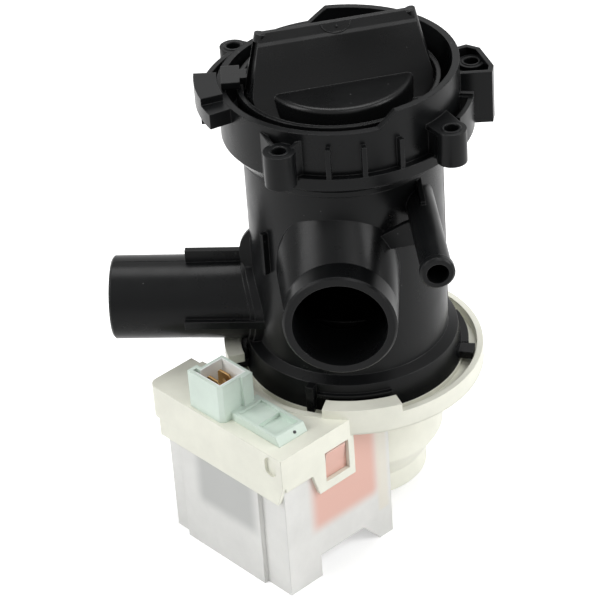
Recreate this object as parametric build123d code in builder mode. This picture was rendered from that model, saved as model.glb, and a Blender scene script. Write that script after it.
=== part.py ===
"""Washer drain pump with filter housing: every separate piece as its own solid.

Millimetres. +Z runs up the pump axis and out of the filter mouth. The origin is
on the pump axis in the plane of the screw bosses' tops. The inlet points to -Y,
the outlet to -X. The coil block hangs below, turned about the pump axis.
"""

import os
from math import atan2, cos, degrees, hypot, radians, sin

from build123d import *

os.makedirs("parts", exist_ok=True)

# Shared clearances and helpers' sizes
overrun = 1.0
slip_gap = 0.3
running_gap = 0.05

# Pump body: heights run down from the plane of the screw bosses' tops
collar_radius = 40.3
collar_wall = 2.3
low_rim_height = 4.4
rim_step = 5.0
collar_depth = 14.0
mouth_depth = 11.0
funnel_height = 6.0
neck_radius = 35.5
neck_ring_radius = 34.5
neck_ring_height = 2.5
body_radius = 33.7
filter_bore_radius = 31.2
filter_chamber_depth = 77.5
partition_wall = 2.5
eye_radius = 9.0
volute_radius = 30.0
volute_height = 26.0
lock_ring_height = 10.0
lock_ring_radius = 38.5
lock_ring_draft = 1.4
lock_ring_shoulder = 2.0
high_rim_start_angle = -68.0
high_rim_end_angle = 108.0
rim_slope_angle = 9.0

# Ports
inlet_radius = 19.0
inlet_bore = 15.84
inlet_reach = 53.1
inlet_depth = 60.6
inlet_root_front = 44.0
inlet_root_back = 30.0
inlet_root_x = -1.5
inlet_root_depth = 54.0
inlet_root_half_width = 20.6
inlet_root_half_height = 26.0
mouth_chamfer = 0.7
outlet_radius = 14.73
outlet_bore = 12.3
outlet_reach = 83.5
outlet_rise = 23.1
outlet_draft = 0.5
outlet_seat_end = 57.5
throat_radius = 9.5
throat_drop = 7.6
throat_x = 29.0
throat_length = 26.0
nozzle_radius = 5.05
nozzle_bore = 3.6
nozzle_bead = 0.65
nozzle_bead_length = 3.0
nozzle_mouth_x = 33.3
nozzle_mouth_y = -66.0
nozzle_depth = 32.2
nozzle_length = 50.0
nozzle_angle = -81.1

# Screw bosses and what stands round the collar
side_boss_reach = 48.0
screw_hole_radius = 2.45
boss_length = 12.0
left_boss_angle = 142.0
left_boss_radius = 4.75
left_web_depth = 8.0
right_boss_angle = -38.0
right_boss_radius = 5.0
right_gusset_left_angle = 4.5
right_gusset_peak_angle = 12.5
front_boss_angle = -112.0
front_boss_reach = 45.4
front_boss_radius = 5.25
rear_boss_angle = 19.0
rear_boss_reach = 46.2
rear_boss_radius = 4.5
web_wall = 1.6
boss_web_width = 5.0
boss_fin_angle = 10.0
front_fin_left_angle = 12.0
front_fin_right_angle = 6.0
boss_fin_rise = 2.0
pocket_reach = 51.0
pocket_height = 19.0
pocket_rise = 2.0
shelf_radius = 42.8
shelf_start_angle = -113.0
shelf_end_angle = -39.0
shelf_top_depth = 10.7
shelf_height = 4.3
shelf_rib_angles = (-92.0, -76.0, -58.5)
shelf_rib_reach = 42.5
guard_radius = 48.0
guard_wall = 1.8
guard_start_angle = 182.5
guard_end_angle = 212.5
guard_step_angle = 204.0
guard_wall_angle = 2.3
guard_top = 7.0
guard_foot_depth = 1.0
guard_link_reach = 46.6
fin_angle = -6.0
fin_reach = 45.0
fin_top_depth = 1.0
fin_height = 13.0
fin_hook_angle = -26.0

# Ribs on the body and on the outlet and nozzle roots
outlet_rib_from = 57.0
outlet_rib_to = 31.0
outlet_rib_wall = 2.4
outlet_rib_rise = 4.6
outlet_fin_drop = 3.0
outlet_fin_reach = 17.0
saddle_reach = 37.6
saddle_step = 0.7
saddle_run = 1.3
gusset_y = -5.0
gusset_reach = 37.3
gusset_top_depth = 52.0
gusset_middle_depth = 62.0
gusset_foot_depth = 71.0
gusset_wall = 1.6
body_rib_angle = -139.0
body_rib_rise = 2.3
body_rib_top_depth = 43.0
body_rib_height = 16.0
nozzle_web_y = -31.0
nozzle_web_wall = 2.0
nozzle_web_left = 12.0
nozzle_web_bend = 21.5
nozzle_web_right = 26.0
nozzle_web_foot_depth = 44.5
nozzle_web_left_depth = 39.5
nozzle_web_bend_depth = 34.0
nozzle_web_right_depth = 42.0
nozzle_fin_length = 16.0
nozzle_fin_rise = 4.0
nozzle_fin_end = 1.2

# Locking ring details
lug_reach = 43.0
lug_height = 2.8
lug_lift = 0.6
lug_spans = ((-99.0, -69.0), (77.0, 103.0), (168.0, 197.0))
slim_lug_reach = 40.6
slim_lug_spans = ((-3.0, 27.0),)
lock_tab_start_angle = -111.0
lock_tab_end_angle = -107.0
lock_tab_reach = 40.4
lock_tab_height = 10.0
lock_rib_start_angle = -106.0
lock_rib_end_angle = -67.0
lock_rib_drop = 4.3
lock_rib_height = 1.2
stop_block_start_angle = -12.0
stop_block_end_angle = -4.0

# Motor flange: a dish under the body with a housing for the core's legs
flange_radius = 45.7
flange_wall = 2.2
flange_plate = 2.5
flange_seat_radius = 38.6
flange_seat_height = 2.0
flange_wall_height = 6.9
hook_lip = 3.6
low_hook_spans = ((-101.0, -66.0), (75.0, 105.0))
low_hook_height = 3.2
low_hook_lip_height = 2.0
tall_hook_spans = ((165.0, 200.0),)
tall_hook_height = 5.2
tall_hook_lip_height = 3.4
pole_housing_radius = 30.6
pole_housing_height = 25.5
pole_cone_height = 10.4
pole_nose_radius = 24.0
pole_nose_height = 7.6
pole_nose_round = 3.0
pole_wall = 2.0
pole_floor = 3.0
pole_cut = 13.4
rotor_can_radius = 14.8
rotor_can_wall = 1.2
bearing_post_radius = 9.6
bearing_post_wall = 1.5

# Coil block: s runs across it and t along the core's legs, both square to Z
block_angle = -42.9
cover_half_width = 29.8
cover_front = 63.4
cover_back = 13.8
cover_wall = 1.6
cover_height = 53.5
cover_window_half = 21.5
cover_window_floor = 9.5
arch_front = 48.5
arch_top_back = 27.9
arch_foot_back = 19.1
arch_height = 9.0
panel_left = 22.0
panel_right = 18.0
panel_height = 40.0
panel_proud = 1.7
bracket_left = 32.0
bracket_right = 31.5
bracket_front = 65.2
bracket_back = 30.0
bracket_plate = 2.5
bracket_rise = 2.0
front_skirt_height = 20.0
side_skirt_height = 14.0
side_skirt_back = 51.3
ear_reach = 4.5
ear_front = 65.2
ear_back = 44.8
ear_round = 3.6
left_notch_side = 27.5
left_notch_front = 43.5
left_notch_depth = 4.5
skirt_corner_run = 3.0
skirt_corner_rise = 8.0
ear_height = 13.0
clip_drop = 23.2
clip_front = 48.4
clip_back = 30.8
clip_root_back = 26.2
clip_root_drop = 2.5
clip_window_front = 45.2
clip_window_back = 34.2
clip_window_top_drop = 7.7
clip_window_height = 12.0
catch_proud = 1.2
catch_play = 1.0
recess_s = 26.0
recess_drop = 1.2
recess_width = 5.4
recess_height = 7.5
recess_depth = 1.1
keeper_front = 61.0
keeper_back = 55.0
keeper_wall = 1.2
keeper_height = 3.0

# Core, bobbins and coils
core_floor_gap = 21.0
core_stack = 22.0
leg_inner = 9.0
leg_outer = 20.0
leg_tip = 10.0
pole_arc_radius = 15.1
yoke_front = 61.4
yoke_back = 51.0
rivet_radius = 1.5
rivet_head_radius = 2.4
rivet_head_height = 1.2
rivet_leg_t = 7.0
bobbin_front = 50.5
bobbin_back = 16.0
bobbin_wall = 1.2
bobbin_flange = 1.5
bobbin_half_width = 13.3
bobbin_height = 36.0
coil_inset = 0.6

# Connector
connector_left = 15.0
connector_right = 1.5
connector_front = 64.0
connector_back = 50.0
connector_height = 15.0
connector_wall = 1.5
connector_floor = 4.0
connector_step = 2.2
connector_step_back = 59.6
connector_corner = 1.4
connector_key = 1.1
connector_key_front = 54.6
tray_right = 25.5
tray_front = 60.0
tray_back = 47.0
tray_height = 3.2
tray_rim = 1.3
tray_plateau_end = 13.0
tray_plateau_drop = 0.9
tray_depth = 2.5
tray_bevel = 1.8
connector_post = 7.5
blade_pitch = 5.0
blade_width = 6.3
blade_thickness = 0.8
blade_height = 13.0
blade_tail = 6.0
blade_hole_radius = 0.8

# Rotor, bearings and impeller: heights run up from the flange plate's seat
shaft_radius = 2.0
shaft_top_rise = 14.5
bearing_radius = 5.0
bearing_length = 5.0
bearing_mount_radius = 8.0
holder_lip_radius = 16.5
holder_lip_height = 1.8
holder_depth = 9.0
holder_floor = 1.6
magnet_radius = 12.5
magnet_height = 27.5
sleeve_wall = 0.5
sleeve_end = 0.6
washer_radius = 4.5
washer_height = 1.0
impeller_radius = 21.0
impeller_blade_count = 6
impeller_blade_wall = 1.6
impeller_height = 14.0
impeller_lift = 2.0
hub_radius = 7.0
hub_wall = 0.9
dog_chamber_height = 6.5
dog_angle = 60.0
dog_gap = 0.3
dog_play_angle = 1.2
impeller_cover_height = 1.2

# Cap and filter
cap_rim_radius = 34.0
cap_rim_wall = 1.5
cap_rim_height = 3.4
cap_moat_depth = 6.4
cap_plate = 2.4
cap_skirt_radius = 30.7
cap_skirt_depth = 16.0
cap_skirt_wall = 2.2
cap_foot = 2.2
pad_radius = 25.0
pad_draft_angle = 2.0
pad_rise = 1.2
pad_round = 1.8
grip_angle = 17.0
grip_rise = 21.0
grip_top_length = 52.0
grip_base_length = 61.0
grip_crest = 1.6
grip_lip = 4.6
grip_lip_height = 2.8
grip_shoulder = 6.2
grip_shoulder_height = 1.0
grip_flare = 7.0
grip_foot_half_width = 11.0
grip_foot_radius = 31.4
grip_end_radius = 1.9
grip_end_inset = 0.8
grip_groove_radius = 1.3
grip_groove_reach = 1.0
grip_groove_angle = 40.0
arm_angle = 186.0
arm_gap = 0.4
arm_height = 2.5
arm_inner = 24.0
arm_tongue_width = 6.0
arm_block_inner = 32.6
arm_reach = 38.8
arm_block_width = 11.8
cap_seal_section = 2.2
cap_seal_drop = 19.6
stud_radius = 5.0
stud_height = 5.0
stud_wall = 1.8
strainer_radius = 29.0
strainer_wall = 2.6
strainer_disc = 2.0
strainer_length = 56.0
strainer_bar_width = 4.0
strainer_bar_count = 12
strainer_open_bars = 3
flange_seal_inner = 32.1
flange_seal_outer = 34.9
flange_seal_height = 2.2
seal_play = 0.1

# Places that follow from the sizes above
high_rim_top = low_rim_height + rim_step
body_bottom = -(filter_chamber_depth + partition_wall + volute_height)
outlet_depth = -body_bottom - outlet_rise
funnel_bottom = -(collar_depth + funnel_height)
lock_ring_top = body_bottom + lock_ring_height
flange_seat = body_bottom
flange_top = flange_seat - flange_seat_height
flange_bottom = flange_top - flange_plate
bracket_top = flange_seat + bracket_rise
foot_z = flange_bottom - cover_height
core_bottom = foot_z + core_floor_gap
core_top = core_bottom + core_stack
core_middle = core_bottom + core_stack / 2
nozzle_root_x = nozzle_mouth_x - nozzle_length * cos(radians(nozzle_angle))
nozzle_root_y = nozzle_mouth_y - nozzle_length * sin(radians(nozzle_angle))
block = Plane(origin=(0, 0, 0), x_dir=(cos(radians(block_angle)), sin(radians(block_angle)), 0))
pole_floor_z = flange_bottom - pole_housing_height - pole_cone_height - pole_nose_height
can_floor_z = pole_floor_z + pole_floor
rear_bearing_top = can_floor_z + bearing_length
cap_top_z = cap_rim_height
moat_z = cap_top_z - cap_moat_depth
skirt_bottom = cap_top_z - cap_foot - cap_skirt_depth - cap_moat_depth


def polar(radius, angle):
    """Point at a radius and an angle in degrees about the pump axis."""
    return radius * cos(radians(angle)), radius * sin(radians(angle))


def level(z):
    """Horizontal plane at one height."""
    return Plane.XY.offset(z)


def block_level(z):
    """Horizontal plane at one height, turned with the coil block."""
    return block.offset(z)


def sector(inner, outer, start, end):
    """Face between two radii and two angles, in degrees."""
    with BuildSketch(Plane.XY, mode=Mode.PRIVATE) as face:
        with BuildLine():
            CenterArc((0, 0), outer, start, end - start)
            CenterArc((0, 0), inner, start, end - start)
            Line(polar(inner, start), polar(outer, start))
            Line(polar(inner, end), polar(outer, end))
        make_face()
    return face.sketch


def radial_plane(angle, radius=0.0, z=0.0):
    """Plane whose X runs outward at an angle and whose Y runs up."""
    x, y = polar(radius, angle)
    outward = (cos(radians(angle)), sin(radians(angle)), 0)
    return Plane(origin=(x, y, z), x_dir=outward, z_dir=(sin(radians(angle)), -cos(radians(angle)), 0))


def rectangle(left, right, front, back):
    """Face between four sides of the local plane."""
    with BuildSketch(Plane.XY, mode=Mode.PRIVATE) as face:
        with Locations(((left + right) / 2, (front + back) / 2)):
            Rectangle(abs(right - left), abs(back - front))
    return face.sketch


def save(piece, name):
    """Label a finished piece and write its STEP file."""
    piece.part.label = name
    export_step(piece.part, f"parts/{name}.step")


# Two saddle steps where the outlet leaves the body
saddles = []
for step in (1, 2):
    with BuildPart() as saddle:
        with BuildSketch(Plane.YZ.offset(-saddle_reach - overrun)):
            with Locations((0, -outlet_depth)):
                Circle(outlet_radius + outlet_draft + step * saddle_step)
        extrude(amount=saddle_reach + overrun - throat_x)
        with Locations((0, 0, -outlet_depth)):
            Cylinder(saddle_reach - (step - 1) * saddle_run, 4 * outlet_radius, mode=Mode.INTERSECT)
    saddles.append(saddle.part)

# Pump body: outer shell first, then what stands on it, then every hollow
collar_inner = collar_radius - collar_wall
with BuildPart() as pump_body:
    with BuildSketch(Plane.XZ) as shell_outline:
        with BuildLine():
            Polyline(
                (0, body_bottom),
                (lock_ring_radius, body_bottom),
                (lock_ring_radius - lock_ring_draft, lock_ring_top),
                (body_radius, lock_ring_top + lock_ring_shoulder),
                (body_radius, funnel_bottom - neck_ring_height - neck_ring_height / 5),
                (neck_ring_radius, funnel_bottom - neck_ring_height),
                (neck_ring_radius, funnel_bottom - neck_ring_height / 5),
                (neck_radius, funnel_bottom),
                (collar_radius, -collar_depth),
                (collar_radius, low_rim_height),
                (0, low_rim_height),
                (0, body_bottom),
            )
        make_face()
    revolve(axis=Axis.Z)
    with BuildSketch(level(0)):
        add(sector(collar_inner - overrun, collar_radius, high_rim_start_angle, high_rim_end_angle))
    extrude(amount=high_rim_top)
    # Both ends of the high rim slope down to the low rim
    slope_length = collar_radius * radians(rim_slope_angle)
    for rim_end, turn in ((high_rim_start_angle, 1), (high_rim_end_angle, -1)):
        rim_x, rim_y = polar(collar_radius, rim_end)
        slope_plane = Plane(
            origin=(rim_x, rim_y, low_rim_height),
            x_dir=(-sin(radians(rim_end)), cos(radians(rim_end)), 0),
            z_dir=(cos(radians(rim_end)), sin(radians(rim_end)), 0),
        )
        with BuildSketch(slope_plane):
            with BuildLine():
                Polyline(
                    (turn * slope_length, rim_step),
                    (turn * slope_length, rim_step + overrun),
                    (-turn * overrun, rim_step + overrun),
                    (-turn * overrun, 0),
                    (0, 0),
                    (turn * slope_length, rim_step),
                )
            make_face()
        extrude(amount=collar_wall + 4 * overrun, both=True, mode=Mode.SUBTRACT)
    # Shelf under the front of the collar with its three ribs
    with BuildSketch(level(-shelf_top_depth)):
        add(sector(collar_radius - overrun, shelf_radius, shelf_start_angle, shelf_end_angle))
    extrude(amount=-shelf_height)
    for angle in shelf_rib_angles:
        with BuildSketch(radial_plane(angle)):
            add(rectangle(collar_radius - overrun, shelf_rib_reach, -shelf_top_depth - overrun, 0))
        extrude(amount=web_wall / 2, both=True)
    # Screw bosses with the webs that carry them
    bosses = (
        (left_boss_angle, side_boss_reach, left_boss_radius, left_web_depth),
        (right_boss_angle, side_boss_reach, right_boss_radius, web_wall),
        (front_boss_angle, front_boss_reach, front_boss_radius, web_wall),
        (rear_boss_angle, rear_boss_reach, rear_boss_radius, web_wall),
    )
    for angle, reach, radius, web_depth in bosses:
        with BuildSketch(level(0)):
            with Locations(polar(reach, angle)):
                Circle(radius)
        extrude(amount=-boss_length)
        with BuildSketch(radial_plane(angle)):
            add(rectangle(collar_radius - overrun, reach, -boss_length, -web_depth))
        extrude(amount=boss_web_width / 2, both=True)
    # Front boss: two fins run from its flanks to the collar
    front_x, front_y = polar(front_boss_reach, front_boss_angle)
    for root_angle in (front_boss_angle - front_fin_left_angle, front_boss_angle + front_fin_right_angle):
        root_x, root_y = polar(collar_radius, root_angle)
        fin_turn = degrees(atan2(root_y - front_y, root_x - front_x))
        fin_plane = Plane(
            origin=(front_x, front_y, 0),
            x_dir=(cos(radians(fin_turn)), sin(radians(fin_turn)), 0),
            z_dir=(sin(radians(fin_turn)), -cos(radians(fin_turn)), 0),
        )
        fin_length = hypot(root_x - front_x, root_y - front_y) + overrun
        with BuildSketch(fin_plane):
            with BuildLine():
                Polyline(
                    (front_boss_radius - overrun, 0),
                    (fin_length, boss_fin_rise),
                    (fin_length, -boss_length - boss_fin_rise),
                    (front_boss_radius - overrun, -boss_length),
                    close=True,
                )
            make_face()
        extrude(amount=web_wall / 2, both=True)
    # Right boss: a flat gusset runs from its top to a peak on the collar
    right_boss_half_angle = degrees(right_boss_radius / side_boss_reach)
    gusset_left = polar(collar_radius - overrun, right_boss_angle - right_gusset_left_angle)
    gusset_peak = polar(collar_radius - overrun, right_boss_angle + right_gusset_peak_angle)
    boss_left = polar(side_boss_reach, right_boss_angle - right_boss_half_angle)
    boss_right = polar(side_boss_reach, right_boss_angle + right_boss_half_angle)
    with BuildSketch(level(0)):
        with BuildLine():
            Polyline(gusset_left, boss_left, boss_right, gusset_peak, close=True)
        make_face()
    extrude(amount=-web_wall)
    # Rear boss stands in an open many-sided pocket
    with BuildSketch(level(pocket_rise)):
        with BuildLine():
            Polyline(
                polar(collar_radius - overrun, rear_boss_angle + boss_fin_angle),
                polar(side_boss_reach, rear_boss_angle + boss_fin_angle),
                polar(pocket_reach, rear_boss_angle + boss_fin_angle / 2),
                polar(pocket_reach + overrun, rear_boss_angle - boss_fin_angle),
                polar(pocket_reach, rear_boss_angle - 3 * boss_fin_angle / 2),
                polar(collar_radius - overrun, rear_boss_angle - 3 * boss_fin_angle / 2),
                close=True,
            )
        pocket_outline = make_face()
        offset(amount=-web_wall, mode=Mode.SUBTRACT)
    extrude(amount=-pocket_height)
    # Hooked fin between the rear pocket and the right boss
    with BuildSketch(radial_plane(fin_angle)):
        add(rectangle(collar_radius - overrun, fin_reach, -fin_top_depth - fin_height, -fin_top_depth))
    extrude(amount=web_wall / 2, both=True)
    with BuildSketch(level(-fin_top_depth - fin_height)):
        add(sector(fin_reach - web_wall, fin_reach, fin_hook_angle, fin_angle))
        add(sector(collar_radius - overrun, fin_reach, fin_angle - degrees(web_wall / fin_reach), fin_angle))
    extrude(amount=fin_height - fin_top_depth)
    # Curved guard beside the stop arm: its top steps down to the low rim, and it's hollow from below
    with BuildSketch(level(-guard_foot_depth)):
        add(sector(collar_radius - overrun, guard_radius, guard_start_angle, guard_end_angle))
    extrude(amount=low_rim_height + guard_foot_depth)
    with BuildSketch(level(low_rim_height - overrun)):
        add(sector(collar_radius, guard_radius, guard_start_angle, guard_step_angle))
    extrude(amount=guard_top - low_rim_height + overrun)
    with BuildSketch(level(-guard_foot_depth)):
        add(sector(collar_radius + guard_wall, guard_radius - guard_wall,
                   guard_start_angle + guard_wall_angle, guard_end_angle - guard_wall_angle))
    extrude(amount=low_rim_height + guard_foot_depth - guard_wall, mode=Mode.SUBTRACT)
    # Curved wall that links the left boss to the guard
    with BuildSketch(level(0)):
        add(sector(guard_link_reach - guard_wall, guard_link_reach, left_boss_angle,
                   guard_start_angle + guard_wall_angle / 2))
    extrude(amount=-boss_length)
    # Wall from the back of the left boss to the collar
    left_back_angle = left_boss_angle - degrees(left_boss_radius / side_boss_reach)
    left_back_wall_angle = degrees(web_wall / collar_radius)
    with BuildSketch(level(0)):
        with BuildLine():
            Polyline(
                polar(side_boss_reach, left_back_angle),
                polar(collar_radius - overrun, left_back_angle - boss_fin_angle / 2),
                polar(collar_radius - overrun, left_back_angle - boss_fin_angle / 2 + left_back_wall_angle),
                polar(side_boss_reach, left_back_angle + left_back_wall_angle),
                close=True,
            )
        make_face()
    extrude(amount=-boss_length)
    # Ports
    with BuildSketch(Plane.XZ.offset(inlet_reach)):
        with Locations((0, -inlet_depth)):
            Circle(inlet_radius)
    extrude(amount=inlet_root_front - inlet_reach)
    chamfer(edges().filter_by(GeomType.CIRCLE).group_by(Axis.Y)[0], mouth_chamfer)
    with BuildSketch(Plane.XZ.offset(inlet_root_front)):
        with Locations((0, -inlet_depth)):
            Circle(inlet_radius)
    with BuildSketch(Plane.XZ.offset(inlet_root_back)):
        with Locations((inlet_root_x, -inlet_root_depth)):
            Ellipse(inlet_root_half_width, inlet_root_half_height)
    loft()
    with BuildSketch(Plane.XZ.offset(inlet_root_back)):
        with Locations((inlet_root_x, -inlet_root_depth)):
            Ellipse(inlet_root_half_width, inlet_root_half_height)
    extrude(amount=-inlet_root_back / 2)
    with BuildSketch(Plane.YZ.offset(-outlet_reach)):
        with Locations((0, -outlet_depth)):
            Circle(outlet_radius)
    extrude(amount=outlet_reach - outlet_seat_end)
    chamfer(edges().filter_by(GeomType.CIRCLE).group_by(Axis.X)[0], mouth_chamfer)
    for place, radius in ((outlet_seat_end, outlet_radius), (throat_x, outlet_radius + outlet_draft)):
        with BuildSketch(Plane.YZ.offset(-place)):
            with Locations((0, -outlet_depth)):
                Circle(radius)
    loft()
    for saddle_part in saddles:
        add(saddle_part)
    nozzle_plane = Plane(
        origin=(nozzle_mouth_x, nozzle_mouth_y, -nozzle_depth),
        z_dir=(-cos(radians(nozzle_angle)), -sin(radians(nozzle_angle)), 0),
    )
    with BuildSketch(nozzle_plane):
        Circle(nozzle_radius)
    extrude(amount=nozzle_length)
    with BuildSketch(nozzle_plane):
        Circle(nozzle_radius + nozzle_bead)
    extrude(amount=nozzle_bead_length)
    chamfer(edges().filter_by(GeomType.CIRCLE).group_by(Axis.Y)[0], mouth_chamfer)
    # Ribs on the outlet
    with BuildSketch(Plane.XZ):
        add(rectangle(-outlet_rib_from, -outlet_rib_to, -outlet_depth, outlet_radius + outlet_rib_rise - outlet_depth))
    extrude(amount=outlet_rib_wall / 2, both=True)
    with BuildSketch(level(-outlet_depth)):
        add(rectangle(-outlet_rib_from, -throat_x, -outlet_fin_reach, 0))
    extrude(amount=-outlet_fin_drop)
    with BuildSketch(Plane.XZ.offset(-gusset_y)):
        with BuildLine():
            ThreePointArc(
                (-body_radius + overrun, -gusset_top_depth),
                (-gusset_reach, -gusset_middle_depth),
                (-body_radius + overrun, -gusset_foot_depth),
            )
            Line((-body_radius + overrun, -gusset_top_depth), (-body_radius + overrun, -gusset_foot_depth))
        make_face()
    extrude(amount=gusset_wall / 2, both=True)
    with BuildSketch(radial_plane(body_rib_angle)):
        add(rectangle(body_radius - overrun, body_radius + body_rib_rise,
                      -body_rib_top_depth - body_rib_height, -body_rib_top_depth))
    extrude(amount=web_wall / 2, both=True)
    # Web and top fin that brace the nozzle
    with BuildSketch(Plane.XZ.offset(-nozzle_web_y)):
        with BuildLine():
            Polyline(
                (nozzle_web_left, -nozzle_web_foot_depth),
                (nozzle_web_left, -nozzle_web_left_depth),
                (nozzle_web_bend, -nozzle_web_bend_depth),
                (nozzle_web_right, -nozzle_depth),
                (nozzle_web_right, -nozzle_web_right_depth),
                close=True,
            )
        make_face()
    extrude(amount=nozzle_web_wall)
    nozzle_side = Plane(
        origin=(nozzle_root_x, nozzle_root_y, -nozzle_depth),
        x_dir=(cos(radians(nozzle_angle)), sin(radians(nozzle_angle)), 0),
        z_dir=(sin(radians(nozzle_angle)), -cos(radians(nozzle_angle)), 0),
    )
    with BuildSketch(nozzle_side):
        with BuildLine():
            Polyline((0, 0), (0, nozzle_radius + nozzle_fin_rise),
                     (nozzle_fin_length, nozzle_radius + nozzle_fin_end), (nozzle_fin_length, 0), close=True)
        make_face()
    extrude(amount=web_wall / 2, both=True)
    # Locking ring: lugs, end tab, stop block and rib
    for spans, reach in ((lug_spans, lug_reach), (slim_lug_spans, slim_lug_reach)):
        for start, end in spans:
            with BuildSketch(level(body_bottom + lug_lift)):
                add(sector(lock_ring_radius - 2 * overrun, reach, start, end))
            extrude(amount=lug_height)
    with BuildSketch(level(body_bottom)):
        add(sector(lock_ring_radius - 2 * overrun, lock_tab_reach, lock_tab_start_angle, lock_tab_end_angle))
    extrude(amount=lock_tab_height)
    with BuildSketch(level(body_bottom + lug_lift)):
        add(sector(lock_ring_radius - 2 * overrun, lug_reach, stop_block_start_angle, stop_block_end_angle))
    extrude(amount=lug_height)
    with BuildSketch(level(lock_ring_top - lock_rib_drop)):
        add(sector(lock_ring_radius - 2 * overrun, lock_ring_radius + lock_rib_height / 2,
                   lock_rib_start_angle, lock_rib_end_angle))
    extrude(amount=lock_rib_height)
    # Hollows: mouth, filter chamber, eye, volute and the seal's groove
    with BuildSketch(level(-mouth_depth)):
        Circle(collar_inner)
    extrude(amount=high_rim_top + mouth_depth + overrun, mode=Mode.SUBTRACT)
    with BuildSketch(level(-filter_chamber_depth)):
        Circle(filter_bore_radius)
    extrude(amount=filter_chamber_depth, mode=Mode.SUBTRACT)
    with BuildSketch(level(body_bottom)):
        Circle(eye_radius)
    extrude(amount=-body_bottom, mode=Mode.SUBTRACT)
    with BuildSketch(level(body_bottom)):
        Circle(volute_radius)
    extrude(amount=volute_height, mode=Mode.SUBTRACT)
    with BuildSketch(level(body_bottom)):
        Circle(flange_seal_outer)
        Circle(flange_seal_inner, mode=Mode.SUBTRACT)
    extrude(amount=flange_seal_height, mode=Mode.SUBTRACT)
    # Bores of the ports
    with BuildSketch(Plane.XZ.offset(inlet_reach)):
        with Locations((0, -inlet_depth)):
            Circle(inlet_bore)
    extrude(amount=-inlet_reach, mode=Mode.SUBTRACT)
    inlet_wall = inlet_radius - inlet_bore
    with BuildSketch(Plane.XZ.offset(inlet_root_front)):
        with Locations((0, -inlet_depth)):
            Circle(inlet_bore)
    with BuildSketch(Plane.XZ.offset(inlet_root_back)):
        with Locations((inlet_root_x, -inlet_root_depth)):
            Ellipse(inlet_root_half_width - inlet_wall, inlet_root_half_height - inlet_wall)
    loft(mode=Mode.SUBTRACT)
    with BuildSketch(Plane.XZ.offset(inlet_root_back)):
        with Locations((inlet_root_x, -inlet_root_depth)):
            Ellipse(inlet_root_half_width - inlet_wall, inlet_root_half_height - inlet_wall)
    extrude(amount=-inlet_root_back / 2, mode=Mode.SUBTRACT)
    with BuildSketch(Plane.YZ.offset(-outlet_reach)):
        with Locations((0, -outlet_depth)):
            Circle(outlet_bore)
    extrude(amount=outlet_reach - throat_x - throat_length, mode=Mode.SUBTRACT)
    with BuildSketch(Plane.YZ.offset(-throat_x - throat_length)):
        with Locations((0, -outlet_depth)):
            Circle(outlet_bore)
    with BuildSketch(Plane.YZ.offset(-throat_x)):
        with Locations((0, -outlet_depth - throat_drop)):
            Circle(throat_radius)
    loft(mode=Mode.SUBTRACT)
    with BuildSketch(nozzle_plane):
        Circle(nozzle_bore)
    extrude(amount=nozzle_length, mode=Mode.SUBTRACT)
    for angle, reach, radius, web_depth in bosses:
        with Locations(level(0)):
            with Locations(polar(reach, angle)):
                Cylinder(screw_hole_radius, 2 * boss_length + 4 * overrun, mode=Mode.SUBTRACT)
save(pump_body, "pump_body")

# Seal between body and flange
with BuildPart() as flange_seal:
    with BuildSketch(level(body_bottom)):
        Circle(flange_seal_outer - seal_play)
        Circle(flange_seal_inner + seal_play, mode=Mode.SUBTRACT)
    extrude(amount=flange_seal_height - seal_play)
save(flange_seal, "flange_seal")

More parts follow.
